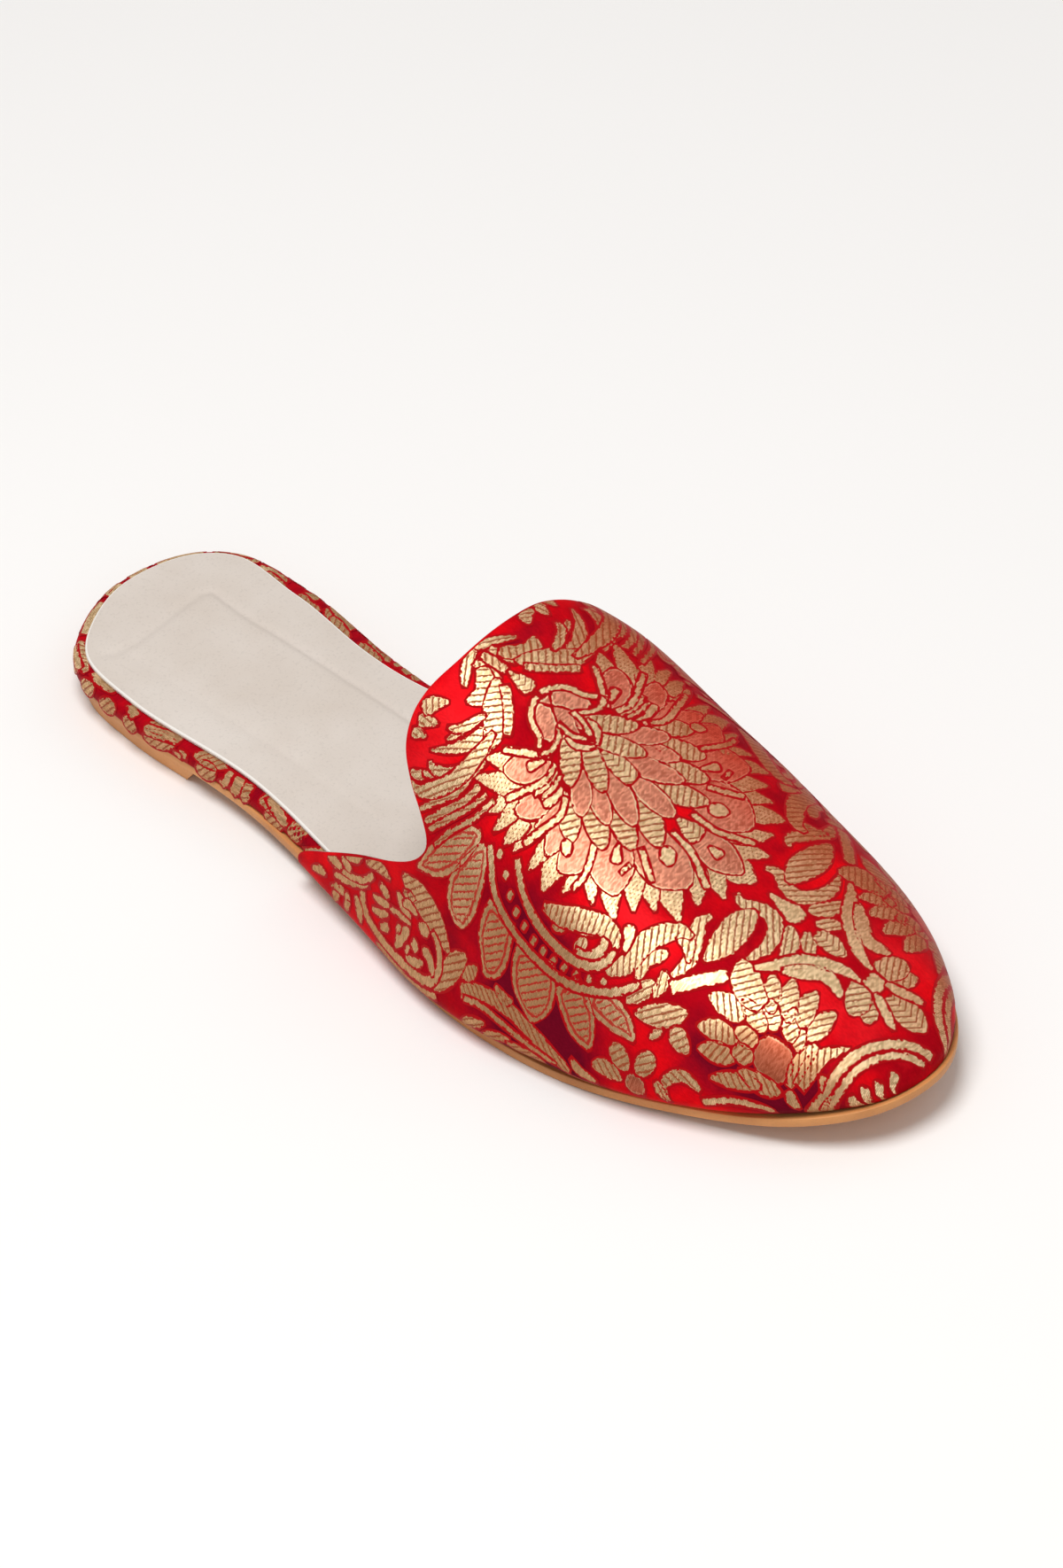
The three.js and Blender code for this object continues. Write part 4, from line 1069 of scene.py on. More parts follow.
class Nodes:
    """Adds and joins nodes of one tree by short calls."""

    def __init__(self, tree):
        self.tree = tree

    def add(self, kind, **settings):
        """A new node with its settings."""
        node = self.tree.nodes.new(kind)
        for key, value in settings.items():
            setattr(node, key, value)
        return node

    def put(self, socket, value):
        """Sets a socket to a number or a colour, or joins it to another node's output."""
        if isinstance(value, bpy.types.NodeSocket):
            self.tree.links.new(value, socket)
        elif value is not None:
            socket.default_value = tuple(value) if hasattr(value, "__len__") else value

    def math(self, operation, a, b=None, c=None):
        """Math node: one operation on up to three values."""
        node = self.add("ShaderNodeMath", operation=operation)
        for socket, value in zip(node.inputs, (a, b, c)):
            self.put(socket, value)
        return node.outputs[0]

    def scaled(self, value, factor, more):
        """value * factor + more"""
        return self.math("MULTIPLY_ADD", value, factor, more)

    def range(self, value, low, high, start=0.0, end=1.0):
        """start at low, end at high, and a straight line between them."""
        node = self.add("ShaderNodeMapRange", clamp=True)
        for socket, item in zip(node.inputs, (value, low, high, start, end)):
            self.put(socket, item)
        return node.outputs[0]

    def mix(self, factor, a, b, blend="MIX"):
        """Colour a, with b over it by a factor."""
        node = self.add("ShaderNodeMix", data_type="RGBA", blend_type=blend)
        self.put(node.inputs[0], factor)
        self.put(node.inputs[6], a)
        self.put(node.inputs[7], b)
        return node.outputs[2]

    def dimmed(self, base, value):
        """A colour times one value."""
        grey = self.add("ShaderNodeCombineColor")
        for socket in grey.inputs:
            self.put(socket, value)
        return self.mix(1.0, base, grey.outputs[0], "MULTIPLY")

    def noise(self, vector, scale, detail=2.0, roughness=0.5):
        """Cloudy noise of a place."""
        node = self.add("ShaderNodeTexNoise")
        self.put(node.inputs["Vector"], vector)
        self.put(node.inputs["Scale"], scale)
        self.put(node.inputs["Detail"], detail)
        self.put(node.inputs["Roughness"], roughness)
        return node.outputs["Fac"]

    def place(self):
        """Place on the object, in metres."""
        return self.add("ShaderNodeTexCoord").outputs["Object"]

    def attribute(self, name):
        """A value that the mesh has at its points."""
        return self.add("ShaderNodeAttribute", attribute_name=name).outputs["Fac"]

    def cloth_mm(self):
        """The cloth's own (across, along) in mm, from the UV map."""
        split = self.add("ShaderNodeSeparateXYZ")
        self.put(split.inputs[0], self.add("ShaderNodeUVMap", uv_map="UVMap").outputs[0])
        return self.math("MULTIPLY", split.outputs[0], UV_MM), self.math("MULTIPLY", split.outputs[1], UV_MM)

    def group(self, name, **values):
        """A shared node group with its values."""
        node = self.add("ShaderNodeGroup", node_tree=bpy.data.node_groups[name])
        for key, value in values.items():
            self.put(node.inputs[key], value)
        return node.outputs

    def painted_fold_shade(self, where, scale, detail, spread):
        """The shared group for the painted shade of the folds, fed with the mesh's own painted shade."""
        shade = self.attribute("shade")
        return self.group("fold_shade", Vector=where, Shade=shade, Scale=scale, Detail=detail, Spread=spread)

    def bump(self, height, strength, distance):
        """Normal from a height, where distance is the full height in metres."""
        node = self.add("ShaderNodeBump")
        self.put(node.inputs["Strength"], strength)
        self.put(node.inputs["Distance"], distance)
        self.put(node.inputs["Height"], height)
        return node.outputs["Normal"]


def new_group(name, inputs, outputs):
    """An empty shader node group with named sockets. An input has its default, or None for a vector."""
    tree = bpy.data.node_groups.new(name, "ShaderNodeTree")
    for label, default in inputs.items():
        kind = "NodeSocketVector" if default is None else "NodeSocketFloat"
        socket = tree.interface.new_socket(name=label, in_out="INPUT", socket_type=kind)
        if default is not None:
            socket.default_value = default
    for label in outputs:
        tree.interface.new_socket(name=label, in_out="OUTPUT", socket_type="NodeSocketFloat")
    nodes = Nodes(tree)
    return nodes, nodes.add("NodeGroupInput").outputs, nodes.add("NodeGroupOutput").inputs


# A float of weft is this many pitches long, and steps sideways by this share of itself from row to row
FLOAT_LENGTH, FLOAT_SHIFT = 2.4, 0.382


def thread_group():
    """Woven threads: rows of weft one pitch apart, each broken into floats that step sideways row by row
    like a twill. Puts out the height of a thread, a random value per float, and that value less a half,
    which makes an edge ragged."""
    inputs, outputs = {"Across": 0.0, "Along": 0.0, "Pitch": 0.34}, ("Height", "Float", "Step")
    nodes, given, out = new_group("woven_threads", inputs, outputs)
    row = nodes.math("DIVIDE", given["Along"], given["Pitch"])
    number = nodes.math("FLOOR", row)
    crown = nodes.math("ABSOLUTE", nodes.math("SINE", nodes.math("MULTIPLY", row, np.pi)))
    column = nodes.math("DIVIDE", given["Across"], nodes.math("MULTIPLY", given["Pitch"], FLOAT_LENGTH))
    shifted = nodes.math("ADD", column, nodes.math("MULTIPLY", number, FLOAT_SHIFT))
    rise = nodes.math("ABSOLUTE", nodes.math("SINE", nodes.math("MULTIPLY", shifted, np.pi)))
    key = nodes.add("ShaderNodeCombineXYZ")
    nodes.put(key.inputs[0], nodes.math("FLOOR", shifted))
    nodes.put(key.inputs[1], number)
    white = nodes.add("ShaderNodeTexWhiteNoise", noise_dimensions="2D")
    nodes.put(white.inputs["Vector"], key.outputs[0])
    nodes.put(out["Height"], nodes.math("MULTIPLY", crown, nodes.scaled(rise, 0.45, 0.55)))
    nodes.put(out["Float"], white.outputs["Value"])
    nodes.put(out["Step"], nodes.math("SUBTRACT", white.outputs["Value"], 0.5))


def leather_group():
    """Leather: a fine pebble from cell distances, broad clouds of tone and small pores."""
    inputs, outputs = {"Vector": None, "Pebble": 900.0}, ("Height", "Tone", "Pores")
    nodes, given, out = new_group("leather_surface", inputs, outputs)
    cells = nodes.add("ShaderNodeTexVoronoi", feature="DISTANCE_TO_EDGE")
    nodes.put(cells.inputs["Vector"], given["Vector"])
    nodes.put(cells.inputs["Scale"], given["Pebble"])
    pebble = nodes.range(cells.outputs["Distance"], 0.0, 0.25)
    fine = nodes.noise(given["Vector"], 2600, 3)
    nodes.put(out["Height"], nodes.scaled(fine, 0.5, nodes.math("MULTIPLY", pebble, 0.5)))
    nodes.put(out["Tone"], nodes.noise(given["Vector"], 38, 3, 0.55))
    nodes.put(out["Pores"], nodes.range(nodes.noise(given["Vector"], 1500, 2), 0.3, 0.45))


def shade_group():
    """Painted shade of the folds with a wandering edge: the mesh's painted shade plus cloudy noise round
    zero.
    """
    inputs = {"Vector": None, "Shade": 0.0, "Scale": 130.0, "Detail": 2.0, "Spread": 0.7}
    nodes, given, out = new_group("fold_shade", inputs, ("Shade", "Wander"))
    cloud = nodes.noise(given["Vector"], given["Scale"], given["Detail"])
    wander = nodes.math("MULTIPLY", nodes.math("SUBTRACT", cloud, 0.5), given["Spread"])
    nodes.put(out["Wander"], wander)
    nodes.put(out["Shade"], nodes.math("ADD", given["Shade"], wander))


def colour(text, alpha=1.0):
    """A colour given as six hex digits, turned to linear light."""
    value = np.array([int(text[k:k + 2], 16) for k in (0, 2, 4)]) / 255
    linear = np.where(value <= 0.04045, value / 12.92, ((value + 0.055) / 1.055) ** 2.4)
    return (*linear.tolist(), alpha)


def new_material(name, **shader):
    """A material with one Principled shader, whose plain values are set on its own sockets."""
    material = bpy.data.materials.new(name)
    material.use_nodes = True
    nodes = Nodes(material.node_tree)
    principled = next(n for n in material.node_tree.nodes if n.type == "BSDF_PRINCIPLED")
    for key, value in shader.items():
        principled.inputs[key.replace("_", " ")].default_value = value
    return material, nodes, principled.inputs


# Pitches of the woven threads in mm: satin, metal thread, and the coarser steps that a figure's edge has
SATIN_PITCH, METAL_PITCH, STEP_PITCH = 0.26, 0.32, 0.62
# Tints of the light that the satin and the metal thread throw back
SATIN_SHEEN, METAL_SHEEN = "8E1018", "B07040"
# Full height of a thread and of the leather's pebble, in metres
THREAD_HEIGHT, PEBBLE_HEIGHT = 0.00003, 0.0001
# From the edge of a figure inwards, in mm: where its outline ends, and where a copper petal's gold rim ends
OUTLINE_END, RIM_END = (0.58, 0.68), (0.84, 0.96)
# The frame round a hatched leaf starts and ends with a dark gap, this far inside the figure's edge
GAP_START, GAP_END = (1.5, 1.62), (2.18, 2.32)
# Painted shade where the cloth turns away from the light: these mm across the crest, near side and far side
NEAR_PAINTED_SHADE, FAR_PAINTED_SHADE = (-36, -47), (-3, 22)

# Lines cut into a figure: half their pitch in mm, how ragged they are, how wide the cut is, and how far
# inside the figure's edge they start
Hatch = namedtuple("Hatch", "pitch ragged cut start")
HATCHES = {
    "lines": Hatch(0.72, 0.3, (0.17, 0.27), (0.68, 0.8)),
    "frame": Hatch(0.72, 0.3, (0.17, 0.27), (2.4, 2.52)),
    "chevrons": Hatch(0.85, 0.2, (0.15, 0.28), (0.5, 0.65)),
}
# Dots cut into a petal tip: mm between rows and within a row, the dot's size, and where they start
DOT_ROW, DOT_PITCH, DOT_SIZE, DOT_START = 0.82, 1.15, (0.2, 0.34), (0.45, 0.55)

# Figure finishes: thread dyes when lit, between its floats, and painted shade in the folds and on the far
# side
GOLD_THREAD = ("gold", "gold_shade", "gold_painted_shade", "gold_far_painted_shade")
# For copper the hatch line dye is also its painted shade in the folds and on the near side
COPPER_THREAD = ("copper", "copper_shade", "line", "copper_far_painted_shade")
FIGURE_FINISHES = {
    "gold_plain": (GOLD_THREAD, "plain"),
    "gold_lines": (GOLD_THREAD, "lines"),
    "gold_chevrons": (GOLD_THREAD, "chevrons"),
    "gold_frame": (GOLD_THREAD, "frame"),
    "gold_dots": (GOLD_THREAD, "dots"),
    "copper_thread": (COPPER_THREAD, "rim"),
}

# Leathers: their dyes, the dye of a cut edge, how fine the pebble is, the strength of its bump, and roughness
Leather = namedtuple("Leather", "light dark edge pebble bump roughness")
LEATHERS = {
    "cream_leather": Leather("cream", "cream_shade", "cut_edge", 1500, 0.12, 0.62),
    "tan_leather": Leather("tan", "tan_shade", None, 900, 0.25, 0.5),
}


def satin_material(dyes):
    """Red satin: fine lengthwise threads, clouds of deeper dye, painted wine-dark shade in folds, painted
    highlight on ridges.
    """
    material, nodes, shader = new_material("red_satin", Specular_IOR_Level=0.02,
                                           Specular_Tint=colour(SATIN_SHEEN))
    across, along = nodes.cloth_mm()
    threads = nodes.group("woven_threads", Across=along, Along=across, Pitch=SATIN_PITCH)
    where = nodes.place()
    base = nodes.mix(nodes.range(nodes.noise(where, 70, 3), 0.35, 0.62), dyes.satin_deep, dyes.satin)
    shade = nodes.painted_fold_shade(where, 160, 3, 0.8)["Shade"]
    # Painted shade in the folds and painted highlight on the ridges, mixed into the satin's colour
    base = nodes.mix(nodes.range(shade, 0.1, 0.9, 0.0, 0.9), base, dyes.satin_painted_shade)
    base = nodes.mix(nodes.range(shade, -0.05, -0.6, 0.0, 0.9), base, dyes.satin_painted_highlight)
    # Each float's random tone, and painted shade between the thread crowns
    thread_tone_and_shade = nodes.scaled(threads["Float"], 0.16, nodes.scaled(threads["Height"], 0.12, 0.76))
    nodes.put(shader["Base Color"], nodes.dimmed(base, thread_tone_and_shade))
    nodes.put(shader["Metallic"], nodes.scaled(threads["Height"], 0.06, 0.08))
    nodes.put(shader["Roughness"], nodes.scaled(threads["Float"], 0.1, 0.36))
    nodes.put(shader["Normal"], nodes.bump(threads["Height"], 0.3, THREAD_HEIGHT))
    return material


def dotted(nodes, ragged, across, along):
    """How much of the gold is cut away by rows of dots, each row half a dot to the side of the one before."""
    row = nodes.math("DIVIDE", along, DOT_ROW)
    column = nodes.scaled(nodes.math("FLOOR", row), 0.5, nodes.math("DIVIDE", across, DOT_PITCH))
    aside, up = (nodes.math("ABSOLUTE", nodes.math("SUBTRACT", nodes.math("FRACT", line), 0.5))
                 for line in (column, row))
    cut = nodes.range(nodes.scaled(up, 1.3, aside), *DOT_SIZE, 1.0, 0.0)
    return nodes.math("MULTIPLY", cut, nodes.range(ragged, *DOT_START))


def hatched(nodes, style, lines, ragged, step):
    """How much of the gold is cut away by slanted lines or chevrons, and by a frame's gap round them."""
    hatch = HATCHES[style]
    wave = nodes.math("PINGPONG", nodes.scaled(step, hatch.ragged, lines), hatch.pitch)
    cut = nodes.math("MULTIPLY", nodes.range(wave, *hatch.cut, 1.0, 0.0), nodes.range(ragged, *hatch.start))
    if style == "frame":
        gap = nodes.math("MULTIPLY", nodes.range(ragged, *GAP_START), nodes.range(ragged, *GAP_END, 1.0, 0.0))
        cut = nodes.math("MAXIMUM", cut, gap)
    return cut


def figure_material(name, dyes):
    """Woven figure: metal thread in short floats, with a ragged dark red outline, and inside it nothing, a
    rim, slanted lines, a frame, chevrons or dots. Painted shade darkens it in the folds and on the near side,
    and painted shade makes it darker and redder on the far side."""
    thread, style = FIGURE_FINISHES[name]
    # lit and low are the thread's lit and painted-shade dyes; fold and far are its painted shade in the folds
    # and on the far side
    lit, low, fold, far = (getattr(dyes, dye) for dye in thread)
    material, nodes, shader = new_material(name, Specular_IOR_Level=0.15, Specular_Tint=colour(METAL_SHEEN))
    across, along = nodes.cloth_mm()
    threads = nodes.group("woven_threads", Across=across, Along=along, Pitch=METAL_PITCH)
    steps = nodes.group("woven_threads", Across=along, Along=across, Pitch=STEP_PITCH)
    ragged = nodes.scaled(threads["Step"], 0.18, nodes.scaled(steps["Step"], 0.42, nodes.attribute("edge")))
    inside = nodes.range(ragged, *OUTLINE_END)
    # tone: each float's random value, and the thread's height as painted shade between the crowns
    tone = nodes.scaled(threads["Float"], 0.5, nodes.math("MULTIPLY", threads["Height"], 0.5))
    base = nodes.mix(nodes.range(tone, 0.1, 0.75), low, lit)
    if style == "rim":
        base = nodes.mix(nodes.range(ragged, *RIM_END, 1.0, 0.0), base, dyes.gold)
    painted_fold_shade = nodes.painted_fold_shade(nodes.place(), 130, 2, 0.7)
    # Painted shade in the folds
    base = nodes.mix(nodes.range(painted_fold_shade["Shade"], 0.1, 0.8, 0.0, 0.8), base, fold)
    turned = nodes.scaled(painted_fold_shade["Wander"], 12, across)
    # Painted shade on the near side, where the cloth turns away from the light
    base = nodes.mix(nodes.range(turned, *NEAR_PAINTED_SHADE, 0.0, 0.7), base, fold)
    # Painted shade on the far side, darker and redder
    away = nodes.range(turned, *FAR_PAINTED_SHADE)
    base = nodes.mix(nodes.math("MULTIPLY", away, 0.9), base, far)
    base = nodes.dimmed(base, nodes.scaled(tone, 0.6, 0.64))
    covered = inside
    if style not in ("plain", "rim"):
        if style == "dots":
            cut = dotted(nodes, ragged, across, along)
        else:
            cut = hatched(nodes, style, nodes.attribute("lines"), ragged, threads["Step"])
        cut_dye = dyes.outline if style == "frame" else dyes.line
        base = nodes.mix(nodes.math("MULTIPLY", cut, 0.9), base, cut_dye)
        covered = nodes.math("MULTIPLY", inside, nodes.math("SUBTRACT", 1.0, cut))
    # The outline is a woven dark red line; on the satin it also stands in as painted shade along the figure's
    # edge
    nodes.put(shader["Base Color"], nodes.mix(inside, dyes.outline, base))
    nodes.put(shader["Metallic"], nodes.math("MULTIPLY", covered, nodes.scaled(away, -0.35, 0.6)))
    nodes.put(shader["Roughness"], nodes.scaled(covered, -0.08, 0.5))
    raised = nodes.math("MULTIPLY", covered, nodes.scaled(threads["Height"], 0.5, 0.5))
    nodes.put(shader["Normal"], nodes.bump(raised, 0.03 if style == "rim" else 0.16, THREAD_HEIGHT))
    return material


def leather_material(name, dyes):
    """Leather: two tones in soft clouds, darker pores, a pebbled height, and the cut edge at the rim."""
    leather = LEATHERS[name]
    light, dark = getattr(dyes, leather.light), getattr(dyes, leather.dark)
    material, nodes, shader = new_material(name, Specular_IOR_Level=0.4)
    skin = nodes.group("leather_surface", Vector=nodes.place(), Pebble=leather.pebble)
    base = nodes.mix(nodes.range(skin["Tone"], 0.3, 0.7), dark, light)
    base = nodes.dimmed(base, nodes.scaled(skin["Pores"], 0.08, 0.92))
    if leather.edge:
        base = nodes.mix(nodes.range(nodes.attribute("rim"), 0.84, 0.9), base, getattr(dyes, leather.edge))
    nodes.put(shader["Base Color"], base)
    nodes.put(shader["Roughness"], nodes.scaled(skin["Tone"], 0.12, leather.roughness - 0.06))
    nodes.put(shader["Normal"], nodes.bump(skin["Height"], leather.bump, PEBBLE_HEIGHT))
    return material


def material(name):
    """A finish by name, made when it is first asked for."""
    if name in bpy.data.materials:
        return bpy.data.materials[name]
    if "woven_threads" not in bpy.data.node_groups:
        thread_group()
        leather_group()
        shade_group()
    dyes = bpy.context.scene.mule_dyes
    if name == "red_satin":
        return satin_material(dyes)
    if name in LEATHERS:
        return leather_material(name, dyes)
    return figure_material(name, dyes)


# What a user would change

def dye(name, description, hexes):
    """A colour property whose default is given as six hex digits."""
    return bpy.props.FloatVectorProperty(name=name, description=description, subtype="COLOR", size=4,
                                         min=0, max=1, default=colour(hexes))


def height(name, description, default, low, high):
    """A property for a small height in metres."""
    return bpy.props.FloatProperty(name=name, description=description, default=default, min=low, max=high,
                                   unit="LENGTH")


class MuleDyes(bpy.types.PropertyGroup):
    """Colours of the cloth, the thread and the leathers."""

    satin: dye("Satin", "Ground of the cloth", "E60C16")
    satin_deep: dye("Satin, deep", "Ground of the cloth where the dye is deeper", "A80716")
    # Painted shade mixed into the satin's colour in its folds and on the whole wrapped edge of the footbed
    satin_painted_shade: dye("Satin, folds", "Ground of the cloth in its folds", "5E0A20")
    # Painted highlight mixed into the satin's colour on its ridges
    satin_painted_highlight: dye("Satin, ridges", "Ground of the cloth on its ridges", "F02028")
    # The outline is a woven dark red line; on the satin it also stands in as painted shade along the figure's
    # edge
    outline: dye("Outline", "Fine line round each woven figure", "A40A14")
    # The hatch line dye is also the copper thread's painted shade in the folds and on the near side
    line: dye("Hatch line", "Lines inside the gold figures, and copper thread in the folds", "8E3A20")
    # Each thread's lit dye and shade dye are lit and painted-shade copies, mixed by a random tone per float
    # and by painted shade between the thread crowns
    gold: dye("Gold", "Lit gold thread", "F6D6AA")
    gold_shade: dye("Gold, shade", "Gold thread between the floats", "C89C66")
    # Painted shade of the gold thread in the folds and where the cloth turns away on the near side
    gold_painted_shade: dye("Gold, folds", "Gold thread where the cloth turns away", "AE7C54")
    # Painted shade of the gold thread on the far side, darker and redder
    gold_far_painted_shade: dye("Gold, far side", "Gold thread on the far side", "A84E2C")
    # Painted shade of the copper thread on the far side, darker and redder
    copper_far_painted_shade: dye("Copper, far side", "Copper thread on the far side", "B83020")
    # Copper and its shade are lit and painted-shade copies in the same way as the gold
    copper: dye("Copper", "Lit copper thread", "ECA082")
    copper_shade: dye("Copper, shade", "Copper thread between the floats", "B85A40")
    cream: dye("Cream", "Insole and lining", "D6CCC3")
    cut_edge: dye("Cut edge", "Edge of the insole where it is cut", "EAE5DE")
    cream_shade: dye("Cream, shade", "Insole where it is a little darker", "CDC1B6")
    tan: dye("Tan", "Edge of the sole", "E29E5E")
    tan_shade: dye("Tan, shade", "Sole where it is a little darker", "B87640")
    floor: dye("Floor", "Floor under the shoe", "F4F2F0")


class MuleSizes(bpy.types.PropertyGroup):
    """Sizes of what is made in this file."""

    relief: height("Relief", "Height of the woven figures over the cloth", 0.00005, 0.00002, 0.0006)
    pad_crease: height("Pad crease", "Depth of the pressed line in the insole", 0.0005, 0.0, 0.001)
    pad_crown: height("Pad crown", "Rise of the insole's padding in its middle", 0.0005, 0.0, 0.002)


def size_mm(name):
    """One of the user's sizes, in millimetres."""
    return 1000 * getattr(bpy.context.scene.mule_sizes, name)


class MULE_OT_sole(bpy.types.Operator):
    """Tan leather sole with softened edges"""

    bl_idname = "mule.sole"
    bl_label = "Leather sole"

    def execute(self, context):
        levels = rounded_levels(sole_inset, SOLE_LOW_ROUND, SOLE_LOW_ROUND, (-90, -60, -30, 0))
        levels += stepped_levels(sole_inset, SOLE, ((0, -SOLE_TOP_ROUND), (0.08, -0.08), (SOLE_TOP_ROUND, 0)))
        grid = layered(levels, 200, over_sole)
        make_mesh("sole_leather", grid, layer_faces(grid), material("tan_leather"),
                  stands_for=("outsole",), weld=True)
        return {"FINISHED"}


class MULE_OT_heel(bpy.types.Operator):
    """Low heel block with a sloped breast"""

    bl_idname = "mule.heel"
    bl_label = "Heel block"

    def execute(self, context):
        foot = HEEL_BREAST - BREAST_SLOPE
        levels = stepped_levels(sole_inset, 0, ((1.9, 0), (1.5, 0.3), (0.6, HEEL_LIFT)))
        grid = layered(levels, 90, over_ground, end=(foot - 0.3, foot, HEEL_BREAST))
        make_mesh("heel_leather", grid, layer_faces(grid, capped=True), material("tan_leather"),
                  stands_for=("heel_block",), weld=True, smooth=False)
        return {"FINISHED"}


# Millimetres of cloth round a section of the footbed
CLOTH_ROUND = 24


class MULE_OT_footbed(bpy.types.Operator):
    """Board footbed wrapped in the red cloth"""

    bl_idname = "mule.footbed"
    bl_label = "Wrapped footbed"

    def execute(self, context):
        bottom = SOLE + GAP
        centre = bottom + FOOTBED - EDGE_ROUND
        levels = stepped_levels(footbed_inset, bottom, ((0.5, 0), (0.1, 0.35), (0, 0.8)))
        levels += rounded_levels(footbed_inset, centre, EDGE_ROUND, (0, 22.5, 45, 67.5, 90))
        grid = layered(levels, 260, over_sole, across=9)
        uv = cloth_uv(run_along(1000 * grid[:, 2])[:, None], np.linspace(0, CLOTH_ROUND, grid.shape[1]))
        # An even shade of 0.5 paints shade into the colour of the whole wrapped edge
        make_mesh("footbed_cloth", grid, layer_faces(grid), material("red_satin"),
                  values={"UVMap": uv, "shade": np.full(len(uv), 0.5)}, stands_for=("footbed",), weld=True)
        return {"FINISHED"}


# Pressed lines of the insole's pad, from above: x towards the lateral side and station, in mm
PAD_SEAM = (
    (25, 16.4), (20, 19.6), (14, 20.8), (6, 20.1), (-2, 19.1), (-8.2, 18.8), (-10.8, 20.8), (-10.2, 25),
    (-9.6, 32), (-9.9, 42), (-9.9, 52), (-9.6, 65), (-9.9, 82), (-10.2, 100),
)
PAD_INNER_SEAM = ((15.6, 28), (16, 36), (16.6, 44), (17.1, 52), (17.3, 64), (17, 80))
PAD_DIP = ((9, 80), (12, 90), (15, 100), (18, 108))


def trough(line, width, x, station):
    """Bell-shaped trough along a broken line: e^-(d / width)^2, where d is the least over the line's parts
    of the distance to the nearest point."""
    best = np.full(np.shape(x), np.inf)
    for (ax, ay), (bx, by) in zip(line[:-1], line[1:]):
        dx, dy = bx - ax, by - ay
        t = np.clip(((x - ax) * dx + (station - ay) * dy) / (dx * dx + dy * dy), 0, 1)
        best = np.minimum(best, np.hypot(x - ax - t * dx, station - ay - t * dy))
    return np.exp(-(best / width) ** 2)


def pad_top(x, station, z, share):
    """Top of the insole: a low crown that fades at its edge, less a bell-shaped trough along each pressed
    line of the pad, a step up inside the pad, and a broad dip beside the upper."""
    fade = ease(0, 0.12, np.minimum(share, 1 - share)) * ease(4, 16, station) * (1 - ease(150, 190, station))
    across_pad = ease(-11.5, -8.5, x) * (1 - ease(16, 18.5, x))
    along_pad = ease(18.5, 22, station) * (1 - ease(95, 120, station))
    crown = size_mm("pad_crown") * (0.45 + 0.55 * across_pad * along_pad)
    pressed = (trough(PAD_SEAM, 1.1, x, station) + 0.45 * trough(PAD_INNER_SEAM, 2.2, x, station)
               + 0.5 * trough(PAD_DIP, 5, x, station))
    return z + fade * (crown - size_mm("pad_crease") * pressed)


class MULE_OT_insole(bpy.types.Operator):
    """Cream padded insole with the pressed outline of its heel pad"""

    bl_idname = "mule.insole"
    bl_label = "Padded insole"

    def execute(self, context):
        bottom, across = SOLE + FOOTBED + 2 * GAP, 121
        centre = bottom + INSOLE - INSOLE_ROUND
        levels = stepped_levels(insole_inset, bottom, ((0, 0), (0, INSOLE - INSOLE_ROUND)))
        levels += rounded_levels(insole_inset, centre, INSOLE_ROUND, (30, 60, 90))
        grid = layered(levels, 300, over_sole, across=across, top=pad_top, arch=insole_arch)
        at_edge = np.arange(grid.shape[1]) % (len(levels) + across) < len(levels)
        rim = np.broadcast_to(at_edge.astype(float), grid.shape[:2]).ravel()
        piece = make_mesh("insole_pad", grid, layer_faces(grid), material("cream_leather"),
                          values={"rim": rim}, stands_for=("insole",), weld=True)
        return {"FINISHED"}


# Rows of the cloth rolled over the collar: turn in degrees, and mm of cloth back from the upper's first row
ROLL_TURNS, ROLL_RUN = (72, 54, 36, 18), (1.4, 1.1, 0.7, 0.35)
# The lining's own edge at the collar: turns in degrees, and how far it reaches in mm
LINING_TURNS, LINING_ROLL = (80, 50, 20), 0.5


def upper_grid(face, rows=150, columns=201):
    """Grid of a face of the upper from the collar's roll to the tip, with rows closer at both ends."""
    girth = np.linspace(0, 1, columns)
    share = np.linspace(0, 1, rows)
    share = 0.75 * share + 0.25 * share * share
    low = collar_station(girth) + COLLAR_ROLL
    station = low + (face.tip - low) * (1 - (1 - share[:, None]) ** 1.35)
    return station, np.broadcast_to(girth, station.shape)


def past_collar(rows):
    """Direction in which a face leaves its first row at the collar."""
    return unit(rows[0] - rows[1])


def rolled(centre, reach, out, degrees):
    """Rows of a rolled edge, on an ellipse: centre + reach * cos + out * sin of each turn."""
    turn = np.radians(np.array(degrees))[:, None, None]
    return centre + reach * np.cos(turn) + out * np.sin(turn)


def make_satin(face, station, girth, front, middle):
    """The cloth of the upper: from its outer face to the middle of the wall, rolled over at the collar."""
    out = past_collar(front)
    roll = rolled(middle[0], front[0] - middle[0], COLLAR_ROLL * out, ROLL_TURNS)
    behind = np.repeat((middle[0] + 0.3 * out)[None], len(ROLL_TURNS), 0)
    points, faces = closed_sheet(np.concatenate([roll, front]), np.concatenate([behind, middle]))
    p, q = face.cloth(station, girth)
    p = np.concatenate([np.repeat(p[:1], len(ROLL_TURNS), 0), p])
    q = np.concatenate([q[0] - np.array(ROLL_RUN)[:, None], q])
    # Painted shade and painted highlight of the folds, which the satin's colour takes from the mesh's shade
    uv, shade = cloth_uv(p, q), folds(p, q, "shade").ravel()
    make_mesh("upper_satin", points, faces, material("red_satin"), stands_for=("upper",),
              values={"UVMap": np.concatenate([uv, uv]), "shade": np.concatenate([shade, shade])})


def make_lining(middle, behind):
    """The lining: from just inside the wall's middle to its inner face, with a round edge at the collar."""
    front = middle + (behind - middle) * 0.06
    half = 0.5 * (behind[0] - front[0])
    centre = front[0] + half
    out = LINING_ROLL * past_collar(behind)
    front_edge, back_edge = (rolled(centre, reach, out, LINING_TURNS) for reach in (-half, half))
    points, faces = closed_sheet(np.concatenate([front_edge, front]), np.concatenate([back_edge, behind]))
    make_mesh("upper_lining", points, faces, material("cream_leather"))


